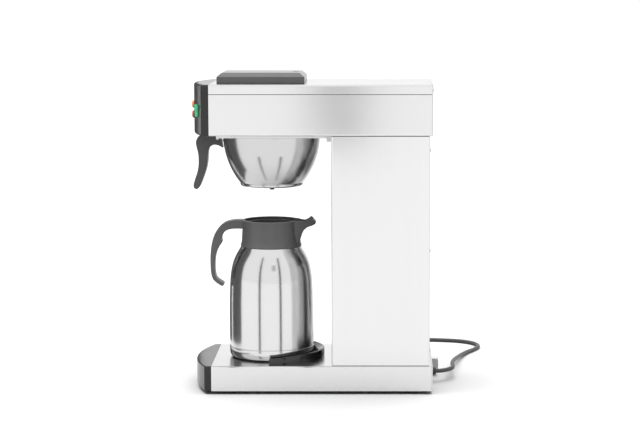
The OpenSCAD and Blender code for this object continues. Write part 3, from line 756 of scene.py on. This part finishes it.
# %% Lid
SLOPE, SLOPE_RISE = 8 * MM, 6.5 * MM
LID_GAP = 0.3 * MM
CAP_OVERLAP, RIM_WALL, RIM_HOLLOW = 9.8 * MM, 2.2 * MM, 14 * MM
NICK_DEPTH, NICK_R, NICK_EDGE_R = 0.9 * MM, 11 * MM, 12.5 * MM
low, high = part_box("fill_lid")
top_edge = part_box("head_cover")[1].z
shoulder = high.z - SLOPE_RISE
lid = block("fill_lid_cap", (low.x, low.y, top_edge + LID_GAP), (high.x, high.y, shoulder))
start_edit(lid)
pick(lid, lambda m, n: n.z > 0.9)
bpy.ops.mesh.extrude_region_move(TRANSFORM_OT_translate={"value": (0, 0, high.z - shoulder)})
span = high - low
bpy.ops.transform.resize(value=(1 - 2 * SLOPE / span.x, 1 - 2 * SLOPE / span.y, 1))
pick(lid, lambda m, n: n.z < -0.9)
bpy.ops.mesh.inset(thickness=CAP_OVERLAP)
bpy.ops.mesh.extrude_region_move(TRANSFORM_OT_translate={"value": (0, 0, low.z - top_edge)})
bpy.ops.mesh.inset(thickness=RIM_WALL)
bpy.ops.mesh.extrude_region_move(TRANSFORM_OT_translate={"value": (0, 0, RIM_HOLLOW)})
end_edit()
nick_y = high.y - 21 * MM
nick = spun("nick", [(0, high.z - NICK_DEPTH), (NICK_R, high.z - NICK_DEPTH), (NICK_EDGE_R, high.z + MM),
                     (0, high.z + MM)], (0, nick_y), steps=48, on_axis=True)
hold = block("hold", (-15 * MM, nick_y - 19 * MM, high.z - 5 * MM), (15 * MM, nick_y, high.z + 5 * MM))
cut(nick, hold)
cut(lid, nick)
soften(lid, 0.9 * MM, segments=3, angle=25)
finish_piece(lid, lid_plastic, "lid", "lid_plastic", "fill_lid")

# %% [markdown]
# ## Rails
# The bowl's rim hangs in two rolled steel rails. Each is an L-shaped strip with a flange on top: the
# cross-section is drawn once, mirrored for the other side, and extruded along the rail. A stay at the
# back and a small tab at the front are joined to it.

# %% Rails
rail_low, rail_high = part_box("rail_right")
RAIL_BACK = rail_high.y - 6.5 * MM
WEB_X, LEDGE_Z = 88.6, 415.5
SECTION = [(81, LEDGE_Z), (WEB_X, LEDGE_Z), (WEB_X, 418.8), (96, 418.8), (96, 420), (87.4, 420),
           (87.4, 416.5), (81, 416.5)]
STAY_HALF, STAY_DROP = 3.3 * MM, 9.5 * MM
TAB_HALF, TAB_LENGTH = 0.6 * MM, 4 * MM
for side, node in ((-1, "rail_left"), (1, "rail_right")):
    points = [Vector((side * x * MM, rail_low.y, z * MM)) for x, z in SECTION]
    rail = extruded(node + "_strip", points, (0, RAIL_BACK - rail_low.y, 0))
    round_edges(rail, lambda m, d: abs(d.y) > 0.9 and near(abs(m.x), WEB_X * MM) and near(m.z, LEDGE_Z * MM),
                MM, segments=4)
    stay_x, tab_x = side * 90.6 * MM, side * 88 * MM
    stay = block("stay", (stay_x - STAY_HALF, RAIL_BACK - MM, rail_high.z - STAY_DROP),
                 (stay_x + STAY_HALF, rail_high.y, rail_high.z))
    tab = block("tab", (tab_x - TAB_HALF, rail_low.y, 414 * MM),
                (tab_x + TAB_HALF, rail_low.y + TAB_LENGTH, 416 * MM))
    rail = join(node + "_strip", rail, stay, tab)
    soften(rail, 0.2 * MM)
    finish_piece(rail, rolled_steel, "housing", "bright_steel", node)

# %% [markdown]
# ## Brew basket
# A spun steel bowl. Its wall follows one long arc, so the profile is that arc outside and the same arc
# a wall's thickness smaller inside, joined by the flat bottom with its rolled corner. A fine groove
# shows where the wall meets the bottom.

# %% Bowl and rim
BASKET = (0, sum(corner.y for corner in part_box("basket_flange")) / 2)
RIM_Z, RIM_TOP = (corner.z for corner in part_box("basket_flange"))
ARC_R, ARC_IN, ARC_Z, WALL = 130 * MM, 50 * MM, 416.5 * MM, 1.2 * MM
FOOT_Z = 337 * MM
FOOT_R = 52.3 * MM
FOOT_ROUND = 4 * MM
BOWL_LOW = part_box("basket_bowl")[0].z


def bowl_r(z, wall=0.0):
    """The bowl's radius at a height, outside or a wall's thickness inside."""
    return ((ARC_R - wall) ** 2 - (ARC_Z - z) ** 2) ** 0.5 - ARC_IN


heights = [FOOT_Z + (RIM_Z - FOOT_Z) * i / 22 for i in range(23)]
outside = [(0, BOWL_LOW), (44 * MM, BOWL_LOW)]
outside += [(FOOT_R - FOOT_ROUND * (1 - sin(radians(a))), BOWL_LOW + FOOT_ROUND * (1 - cos(radians(a))))
            for a in range(0, 91, 15)]
groove = FOOT_Z - 0.9 * MM
outside += [(FOOT_R, groove - 0.3 * MM), (FOOT_R - 0.9 * MM, groove), (FOOT_R - 0.7 * MM, FOOT_Z - 0.2 * MM)]
outside += [(bowl_r(z), z) for z in heights]
inside = [(bowl_r(z, WALL), z) for z in reversed(heights)]
inside += [(50 * MM, FOOT_Z - 2 * MM), (48 * MM, BOWL_LOW + WALL), (0, BOWL_LOW + WALL)]
bowl = spun("bowl_shell", outside + inside, BASKET, steps=128, on_axis=True)
smooth(bowl, 35)
finish_piece(bowl, bowl_steel, "basket", "bowl_steel", "basket_bowl")

rim_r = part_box("basket_flange")[1].x
ROLL = (RIM_TOP - RIM_Z) / 2
RIM_IN = 78.6 * MM
rim = [(RIM_IN, RIM_TOP), (RIM_IN, RIM_Z)]
rim += [(rim_r - ROLL + ROLL * sin(radians(a)), RIM_Z + ROLL * (1 - cos(radians(a))))
        for a in range(0, 181, 20)]
rim_ring = spun("bowl_rim", rim, BASKET, steps=128)
smooth(rim_ring, 40)
finish_piece(rim_ring, bowl_steel, "basket", "bowl_steel", "basket_flange")

# %% Drip nozzle
NOZZLE = [(1.8, 324), (3, 324), (3.4, 324.3), (6.3, 330), (6.6, 330.6), (8, 330.7), (8, 332.2), (11, 332.3),
          (11, 333.9), (10.4, 334.2), (1.8, 334.2)]
nozzle = spun("drip_nozzle", in_mm(NOZZLE), BASKET, steps=48)
smooth(nozzle, 30)
finish_piece(nozzle, satin_plastic, "basket", "black_plastic", "basket_nozzle")

# %% [markdown]
# ## Lever of the basket
# Seen from the side it is a hook that swells where the thumb rests. That side view is the outline: a
# smooth curve through a few points, extruded across, with its long edges well rounded for the hand.

# %% Lever
LEVER = [(-157, 416.7), (-184, 416), (-193, 412.5), (-197, 404), (-196, 395), (-193.5, 384), (-193, 368),
         (-195, 355), (-198.5, 344), (-201.5, 334), (-201, 328), (-197, 325.5), (-192.5, 328.5),
         (-188.5, 336.5), (-184.5, 347), (-180.5, 359), (-178.2, 371), (-177.2, 385), (-175, 394),
         (-168, 398.8), (-160, 397.8), (-153, 394)]


def hand_piece(name, side_view, width, edge, steps=5):
    """A side view in (y, z), smoothed and extruded across, with rounded long edges."""
    curve = curve_through([(0, y * MM, z * MM) for y, z in side_view], steps)
    obj = extruded(name, [p - Vector((width / 2, 0, 0)) for p in curve], (width, 0, 0))
    start_edit(obj)
    pick(obj, lambda m, d: abs(d.x) < 0.1 and near(abs(m.x), width / 2), "EDGE")
    bpy.ops.mesh.bevel(offset=edge, segments=6, affect="EDGES", clamp_overlap=True)
    end_edit()
    return obj


lever = hand_piece("basket_lever", LEVER, 22 * MM, 4.5 * MM)
PLAY = 0.15 * MM
BELOW_LEVER, WALL_FROM, ABOVE_RIM = 0.3, 0.37, 0.43
bowl_space = [(0, BELOW_LEVER)] + [(bowl_r(z) + PLAY, z) for z in heights if z > WALL_FROM]
bowl_space += [(rim_r + PLAY, RIM_Z - 0.1 * MM), (rim_r + PLAY, ABOVE_RIM), (0, ABOVE_RIM)]
cut(lever, spun("clearance", bowl_space, BASKET, steps=128, on_axis=True))
smooth(lever, 45)
finish_piece(lever, lever_plastic, "basket", "black_plastic", "basket_handle")

# %% [markdown]
# ## Vacuum jug
# The steel body is a turned shell: straight for most of its height, drawn in at the shoulder, with a
# fine groove near the foot where the outer wall is seamed to the bottom. Everything on the jug shares
# one upright axis, taken from its foot ring.

# %% Jug body
ring_low, ring_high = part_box("jug_foot_ring")
JUG = (0, (ring_low.y + ring_high.y) / 2)
STEEL_LOW = ring_high.z
JUG_R = 69.6
foot_curve = [(65.8, 48.5), (67.6, 49.6), (68.8, 52), (69.5, 56), (JUG_R, 61)]
seam_groove = [(JUG_R, 64), (69.5, 64.3), (68.9, 64.8), (68.9, 65.5), (69.5, 66), (JUG_R, 66.3)]
shoulder_curve = [(JUG_R, 100), (69.4, 139), (68.3, 172), (66.6, 188), (63.7, 202), (58.6, 215), (50, 230.2)]
wall_line = curve_through([(r, z, 0) for r, z in foot_curve], 5)
wall_line += [Vector((r, z, 0)) for r, z in seam_groove]
wall_line += curve_through([(r, z, 0) for r, z in shoulder_curve], 6)
outside = [(0, STEEL_LOW)] + in_mm((p.x, p.y) for p in wall_line)
inside = [((p.x - 1) * MM, max(p.y * MM, STEEL_LOW + MM)) for p in reversed(wall_line)]
jug = spun("jug_body", outside + inside + [(0, STEEL_LOW + MM)], JUG, steps=144, on_axis=True)
smooth(jug, 40)
finish_piece(jug, jug_steel, "jug", "jug_steel", "jug_shell")

FOOT = [(59, 48.5), (59, 47.3), (59.5, 46.8), (64.6, 46.8), (65.5, 47.6), (65.5, 48.5)]
foot = spun("jug_foot", in_mm(FOOT), JUG, steps=96)
smooth(foot)
finish_piece(foot, rubber, "jug", "rubber", "jug_foot_ring")

# %% [markdown]
# The collar starts as a circle that is extruded upwards ring by ring and resized a little each time,
# then given a wall. The spout is a thick lip: its side view is extruded, narrowed towards the tip,
# joined to the collar and hollowed into a trough.

# %% Collar
collar_rings = [(231, 50.3), (233.8, 50.3), (235.4, 49.3), (240, 48.6), (246, 48.3), (252, 47.9),
                (258, 47.6), (263, 47.3), (268, 47.1), (271.5, 47), (274, 47)]
bpy.ops.object.select_all(action="DESELECT")
z0, r0 = collar_rings[0]
bpy.ops.mesh.primitive_circle_add(vertices=96, radius=r0 * MM, location=(*JUG, z0 * MM))
collar = settle(new_piece("jug_collar_spout"))
start_edit(collar)
for (z1, r1), (z2, r2) in zip(collar_rings, collar_rings[1:]):
    bpy.ops.mesh.extrude_edges_move(TRANSFORM_OT_translate={"value": (0, 0, (z2 - z1) * MM)})
    bpy.ops.transform.resize(value=(r2 / r1, r2 / r1, 1), center_override=(*JUG, z2 * MM))
end_edit()
print("collar rings:", len(collar_rings))

modify(collar, "SOLIDIFY", thickness=4.6 * MM, offset=-1)

# %% Spout
SPOUT = [(30, 274), (44, 274), (50, 272.8), (56, 272.2), (61.5, 275), (65.6, 278.4), (67.5, 278.6),
         (74.2, 271.4), (74.3, 269), (73, 267.2), (68, 264.8), (61.3, 263), (55.5, 258.8), (52, 252.5),
         (49.5, 244), (47.5, 238), (30, 238)]
TROUGH = [(20, 269), (50, 269), (58, 269.8), (64, 272.4), (80, 281), (80, 290), (20, 290)]
HALF_WIDTH = [(20, 34), (46, 22), (62, 15), (80, 10)]


def half_width(y):
    """The spout's half width at a distance in front of the jug's axis, both in millimetres."""
    for (y1, w1), (y2, w2) in zip(HALF_WIDTH, HALF_WIDTH[1:]):
        if y <= y2:
            return w1 + (w2 - w1) * (y - y1) / (y2 - y1)
    return HALF_WIDTH[-1][1]


def spout_shape(name, side_view, inset):
    """A side view extruded across, then narrowed towards the tip."""
    shape = extruded(name, [(-MM, JUG[1] + y * MM, z * MM) for y, z in side_view], (2 * MM, 0, 0))
    for corner in shape.data.vertices:
        corner.co.x *= half_width((corner.co.y - JUG[1]) / MM) - inset
    return shape


spout = spout_shape("spout", SPOUT, 0)
modify(spout, "BEVEL", width=1.6 * MM, segments=3, limit_method="ANGLE", angle_limit=radians(50))
trough = spout_shape("trough", TROUGH, 3.6)
MOUTH_SPACE = [(0, 225), (43.6, 225), (43.6, 285), (0, 285)]
mouth_space = spun("mouth_space", in_mm(MOUTH_SPACE), JUG, steps=96, on_axis=True)
modify(collar, "BOOLEAN", operation="UNION", solver="EXACT", object=spout)
bpy.data.objects.remove(spout)
cut(collar, trough, mouth_space)
smooth(collar, 40)
finish_piece(collar, jug_plastic, "jug", "jug_plastic", "jug_collar")

# %% Mouth ring inside the collar
MOUTH = [(39.6, 251), (39.6, 268.5), (40.4, 269.6), (41.8, 270), (43.2, 270), (44.4, 268), (44.4, 251)]
mouth = spun("jug_mouth", in_mm(MOUTH), JUG, steps=96)
smooth(mouth)
finish_piece(mouth, jug_plastic, "jug", "jug_plastic")

# %% Stopper
STOPPER = [(3.5, 240), (6, 240), (6, 256), (38, 256), (39, 257), (39, 265), (38.2, 266), (36.8, 266),
           (36, 265), (36, 259.6), (35, 259), (8, 259), (7, 260.5), (3.5, 260.5)]
stopper = spun("brew_stopper", in_mm(STOPPER), JUG, steps=96)
smooth(stopper, 40)
finish_piece(stopper, satin_plastic, "stopper", "black_plastic", "jug_stopper")

# %% [markdown]
# The grip is drawn from the side like the basket's lever: it leaves the collar level, turns down in a
# wide bow for the hand and ends in a small hook that keeps the fingers off the hot steel.

# %% Grip
GRIP = [(-118, 274), (-134, 274), (-148, 271), (-159, 263.5), (-167.5, 251.5), (-172.7, 235.5), (-175, 217),
        (-175.2, 200), (-174, 184), (-170, 174), (-160, 166), (-155, 164.5), (-153.5, 168.5),
        (-160.5, 173.5), (-166, 179), (-168, 191), (-167.8, 206), (-165.5, 219), (-160.5, 230),
        (-155.6, 237.5), (-156.4, 243.6), (-154, 251), (-149, 256.5), (-141, 259.3), (-130, 260),
        (-118, 259.6)]
grip = hand_piece("jug_grip", GRIP, 24 * MM, 3.2 * MM)
COLLAR_SPACE = [(0, 225), (48.5, 225), (48.3, 246), (47.2, 263), (46.9, 280), (0, 280)]
cut(grip, spun("collar_space", in_mm(COLLAR_SPACE), JUG, steps=96, on_axis=True))
smooth(grip, 45)
finish_piece(grip, jug_plastic, "jug", "jug_plastic", "jug_handle")

# %% [markdown]
# ## Guide behind the jug
# A glossy half ring that stops the jug under the basket. Its cross-section is spun half way round; the
# top is then tilted so that the ring is highest at the back and low at its two ends.

# %% Guide
GUIDE_R, GUIDE_H = 88, 13.9
END_DROP = 4.5 * MM
RISE_RATE = 1.4
guide_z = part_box("jug_guide")[0].z
GUIDE = [(76, 0), (GUIDE_R, 0), (GUIDE_R, 10), (87.7, 12.6), (86.8, 13.6), (85.5, GUIDE_H), (79, 10.6),
         (77.2, 9.3), (76.2, 8), (76, 7)]
profile = [(r * MM, guide_z + z * MM) for r, z in GUIDE]
guide = spun("half_ring_guide", profile, JUG, steps=72, turn=180, from_angle=180)
for corner in guide.data.vertices:
    back = (corner.co.y - JUG[1]) / (GUIDE_R * MM)
    height = (corner.co.z - guide_z) / (GUIDE_H * MM)
    corner.co.z -= height * END_DROP * (1 - ease(back * RISE_RATE))
smooth(guide, 35)
finish_piece(guide, gloss_plastic, "housing", "black_gloss", "jug_guide")

# %% [markdown]
# ## Feet, screws and the small things at the back
# Parts that repeat are made once and copied, each copy with its own mesh, and joined into the group
# that one node holds.

# %% Copies
def copies(name, original, places):
    """Copies of a piece made at the origin, one at each place, joined into one piece."""
    made = []
    for place in places:
        only(original)
        bpy.ops.object.duplicate()
        twin = bpy.context.active_object
        twin.data.transform(Matrix.Translation(Vector(place)))
        made.append(twin)
    bpy.data.objects.remove(original)
    return join(name, *made)


PAD_R = 10.3
feet_low, feet_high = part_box("feet")
pad_x = feet_high.x - PAD_R * MM
pad_y = (feet_low.y + PAD_R * MM, feet_high.y - PAD_R * MM)
corners = [(x, y, 0) for x in (-pad_x, pad_x) for y in pad_y]
RUBBER_FOOT = [(4, 3), (4, 0.4), (4.5, 0), (8.4, 0), (9.6, 0.6), (PAD_R, 1.6), (PAD_R, 4.8), (9.9, 5.5),
               (2.3, 5.5), (2.3, 3)]
one_foot = spun("one_foot", in_mm(RUBBER_FOOT), steps=48)
feet = copies("rubber_feet", one_foot, corners)
smooth(feet)
finish_piece(feet, rubber, "housing", "rubber", "feet")

# %% Screws on the back
def pan_head(name, r, height):
    """A domed screw head with a crossed recess, at the origin and facing +Y."""
    dome = [(0, height)] + [(r * sin(radians(a)), height * (0.35 + 0.65 * cos(radians(a))))
                            for a in range(25, 91, 13)] + [(r, 0), (r * 0.45, -0.3 * MM), (0, -0.3 * MM)]
    head = spun(name, dome, steps=32, on_axis=True)
    width, reach = r * 0.24, r * 0.55
    one = block("slot_a", (-width / 2, -reach, height * 0.45), (width / 2, reach, height * 2))
    two = block("slot_b", (-reach, -width / 2, height * 0.45), (reach, width / 2, height * 2))
    cut(head, one, two)
    return laid_back(head, (0, 0, 0))


def screw_row(name, node, r, height, places):
    """Screw heads at places (x, z), with their tops level with the back of the node's box."""
    plane_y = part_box(node)[1].y - height
    screws = copies(name, pan_head("head", r, height), [(x, plane_y, z) for x, z in places])
    smooth(screws, 35)
    return finish_piece(screws, screw_steel, "housing", "screw_steel", node)


screw_row("column_back_screws", "back_screws", 3.4 * MM, 1.8 * MM,
          in_mm((x, z) for x in (-84, 84) for z in (70, 233, 396)))
screw_row("cover_back_screws", "cover_screws", 3 * MM, 1.5 * MM, in_mm((x, 492) for x in (-80, 0, 80)))

# %% Spacer block
BACK_GROOVE, SIDE_GROOVE = 1.4, 1.1
BACK_DEPTH, SIDE_DEPTH, GROOVE_START = 2 * MM, 0.8 * MM, 2 * MM
low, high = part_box("rear_spacer")
spacer = block("wall_spacer", low, high)
round_edges(spacer, lambda m, d: near(m.y, high.y) and near(m.z, high.z), 4 * MM)
grooves = [block("groove", (low.x + x * MM, high.y - BACK_DEPTH, low.z + GROOVE_START),
                 (low.x + (x + BACK_GROOVE) * MM, high.y + MM, high.z + MM)) for x in range(3, 22, 3)]
side_grooves = [block("groove", (edge - SIDE_DEPTH, low.y + y * MM, low.z + GROOVE_START),
                      (edge + SIDE_DEPTH, low.y + (y + SIDE_GROOVE) * MM, high.z + MM))
                for edge in (low.x, high.x) for y in (3, 6, 9)]
cut(spacer, *grooves, *side_grooves)
smooth(spacer, 30)
finish_piece(spacer, spacer_plastic, "housing", "grey_plastic", "rear_spacer")

# %% [markdown]
# The gland holds the cord where it enters the base: a round collar against the back sheet, then a
# short ribbed sleeve that narrows towards the cord.

# %% Gland
GLAND = [(4, -5), (8, -1), (8, 2.6), (7.6, 3), (6.9, 3.1), (6.8, 4), (6.1, 4.2), (6.1, 4.7), (6.5, 4.9),
         (6.4, 5.6), (5.7, 5.8), (5.7, 6.3), (6, 6.5), (5.8, 7.2), (5.2, 7.4), (5, 8), (3.6, 8), (3.6, -5)]
back_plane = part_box("base_back")[1].y
gland = laid_back(spun("cord_gland_sleeve", in_mm(GLAND), steps=48), (0, back_plane, middle_z("cord_gland")))
smooth(gland, 30)
finish_piece(gland, satin_plastic, "housing", "black_plastic", "cord_gland")

# %% [markdown]
# ## Plug
# A two-pin mains plug: a round body lying on its side, with two flats for the fingers. The ribbed
# sleeve where the cord comes out is turned too, about a lower line than the body's own.

# %% Plug
plug_low, plug_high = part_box("plug_body")
PLUG_X, PLUG_R = (plug_low.x + plug_high.x) / 2, (plug_high.z - plug_low.z) / 2
BODY = [(0, 0), (17, 0), (18.1, 0.8), (18.5, 2), (18.5, 11), (17.8, 12.6), (16.6, 14), (16.2, 18),
        (14.4, 20.5), (10.5, 22.5), (0, 23)]
plug = laid_back(spun("plug_shell", in_mm(BODY), steps=72, on_axis=True), (PLUG_X, plug_low.y, PLUG_R))
FLAT_X, FLAT_HALF = 19.2 * MM, 4 * MM
flats = [block("flat", (PLUG_X + s * FLAT_X - FLAT_HALF, plug_low.y + 13 * MM, -MM),
               (PLUG_X + s * FLAT_X + FLAT_HALF, plug_low.y + 24 * MM, 40 * MM)) for s in (-1, 1)]
cut(plug, *flats)
RIB = 0.7
ribs = [(6.4 - 0.1 * i - (RIB if i % 2 else 0), 1 + i) for i in range(20)]
SLEEVE = [(3.6, 0), (6.6, 0)] + ribs + [(3.6, 21)]
sleeve = laid_back(spun("plug_sleeve", in_mm(SLEEVE), steps=36), (PLUG_X, plug_high.y - 19 * MM, SLEEVE_Z))
plug = join("plug_shell", plug, sleeve)
smooth(plug, 35)
finish_piece(plug, satin_plastic, "housing", "cord_pvc", "plug_body")

PIN_APART = 9.5 * MM
pin_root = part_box("plug_pins")[1].y
PIN = [(0, 0), (2.4, 0), (2.4, 16.5), (2.1, 18), (1.4, 19.4), (0.6, 20.2), (0, 20.4)]
one_pin = faced(spun("one_pin", in_mm(PIN), steps=32, on_axis=True))
pins = copies("plug_pin_pair", one_pin, [(PLUG_X + s * PIN_APART, pin_root, PLUG_R) for s in (-1, 1)])
smooth(pins, 40)
finish_piece(pins, plug_metal, "housing", "plug_metal", "plug_pins")

# %% Tie round the coil
TIE = [(-7.41, 0.1), (7.41, 0.1), (8.268, 0.6), (8.268, 13.4), (7.41, 14.9), (-7.41, 14.9),
       (-8.268, 13.4), (-8.268, 0.6)]
TIE_WIDTH = 9 * MM
tie_angle = radians(35)
out = Vector((cos(tie_angle), sin(tie_angle), 0))
along = Vector((-out.y, out.x, 0))
loop = [COIL_CENTRE + out * (COIL_R + x * MM) + Vector((0, 0, z * MM)) - along * TIE_WIDTH / 2
        for x, z in TIE]
bpy.ops.object.select_all(action="DESELECT")
tie = outline("coil_tie", loop)
start_edit(tie)
bpy.ops.mesh.extrude_edges_move(TRANSFORM_OT_translate={"value": along * TIE_WIDTH})
bpy.ops.mesh.select_all(action="SELECT")
bpy.ops.mesh.normals_make_consistent(inside=False)
end_edit()
modify(tie, "SOLIDIFY", thickness=0.6 * MM, offset=0)
modify(tie, "BEVEL", width=0.8 * MM, segments=2, limit_method="ANGLE", angle_limit=radians(30))
smooth(tie, 50)
finish_piece(tie, rubber, "housing", "cord_pvc")

# %% [markdown]
# ## Parts that stay as the CAD made them
# Inner parts, plain plates and small screws already have the right shape, so they only get a
# finish.

# %% Finishes for the parts that stay
kept = {
    back_steel: ["base_bottom", "column_back"],
    rolled_steel: ["spray_head", "jug_liner"],
    screw_steel: ["foot_screws", "rail_screws", "basket_screws"],
    tank_steel: ["water_tank"],
    heater_metal: ["flow_heater"],
    hose_silicone: ["cold_hose", "riser_tube"],
    nylon: ["fill_funnel", "check_valve", "terminal_block", "thermal_fuse"],
    satin_plastic: ["thermostat", "filter_insert"],
    rubber: ["jug_seal"],
}
for finish, nodes in kept.items():
    for node in nodes:
        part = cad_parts[node]
        part.data.materials.clear()
        part.data.materials.append(finish)
print("kept parts:", sum(len(nodes) for nodes in kept.values()))

# %% [markdown]
# ## Studio
# A white room with a broad soft light overhead, so that upward faces are much brighter than upright
# ones. Polished steel shows whatever stands round it, so dark cards stand at the sides, where only
# reflections can see them; they draw the dark bands down the jug and the bowl. One paler card puts a
# soft grey cloud on the side of the head.

# %% Floor and light
bpy.ops.object.select_all(action="DESELECT")
bpy.ops.mesh.primitive_plane_add(size=40)
floor = new_piece("floor")
FLOOR_TONE = 0.25
floor_paint = new_finish("floor_paint", GREY * FLOOR_TONE, 0.7, Specular_IOR_Level=0.0)
two_tones(floor_paint, pattern(floor_paint, 3), GREY * FLOOR_TONE, GREY * 0.253)
floor.data.materials.append(floor_paint)

world = bpy.data.worlds.new("studio")
bpy.context.scene.world = world
world.use_nodes = True
world.node_tree.nodes["Background"].inputs["Color"].default_value = (1, 1, 1, 1)
world.node_tree.nodes["Background"].inputs["Strength"].default_value = 1.13
bpy.context.scene.view_settings.view_transform = "Standard"

bpy.ops.object.light_add(type="SUN", rotation=(radians(2), radians(3), 0))
overhead = bpy.context.active_object
overhead.name = "overhead_softbox"
overhead.data.energy = 12
overhead.data.angle = radians(80)
overhead.visible_glossy = False

# %% [markdown]
# Each card has a direction round the jug's axis in degrees, a distance from it, a width, and the
# heights of its lower and upper edge.

# %% Cards
def flat_paint(name, tone):
    """A dull paint whose tone wanders by a hundredth either way."""
    paint = new_finish(name, GREY * tone, 0.9)
    two_tones(paint, pattern(paint, 5), GREY * (tone - 0.01), GREY * (tone + 0.01))
    return paint


card_paint = flat_paint("card_paint", 0.07)
soft_paint = flat_paint("soft_paint", 0.35)
CARDS = (("card_front", -103, 0.42, 0.32, 0, 1.2), ("card_far_front", -144, 0.42, 0.22, 0, 1.2),
         ("card_back", 97, 1.6, 0.6, 0, 2.6), ("card_far_back", 126, 1.6, 0.45, 0, 2.6),
         ("card_streak_front", -22.6, 0.16, 0.012, 0.045, 0.33),
         ("card_streak_back", 22.6, 0.16, 0.012, 0.045, 0.33), ("card_soft", 10, 0.6, 0.1, 0.36, 0.52))
for name, azimuth, away, width, low_z, high_z in CARDS:
    a = radians(azimuth)
    bpy.ops.object.select_all(action="DESELECT")
    bpy.ops.mesh.primitive_plane_add(size=1, rotation=(radians(90), 0, a + pi / 2),
                                     location=(away * cos(a), JUG[1] + away * sin(a), (low_z + high_z) / 2))
    card = new_piece(name)
    card.scale = (width, high_z - low_z, 1)
    card.data.materials.append(soft_paint if name == "card_soft" else card_paint)
    card.visible_camera = card.visible_diffuse = card.visible_shadow = card.visible_transmission = False
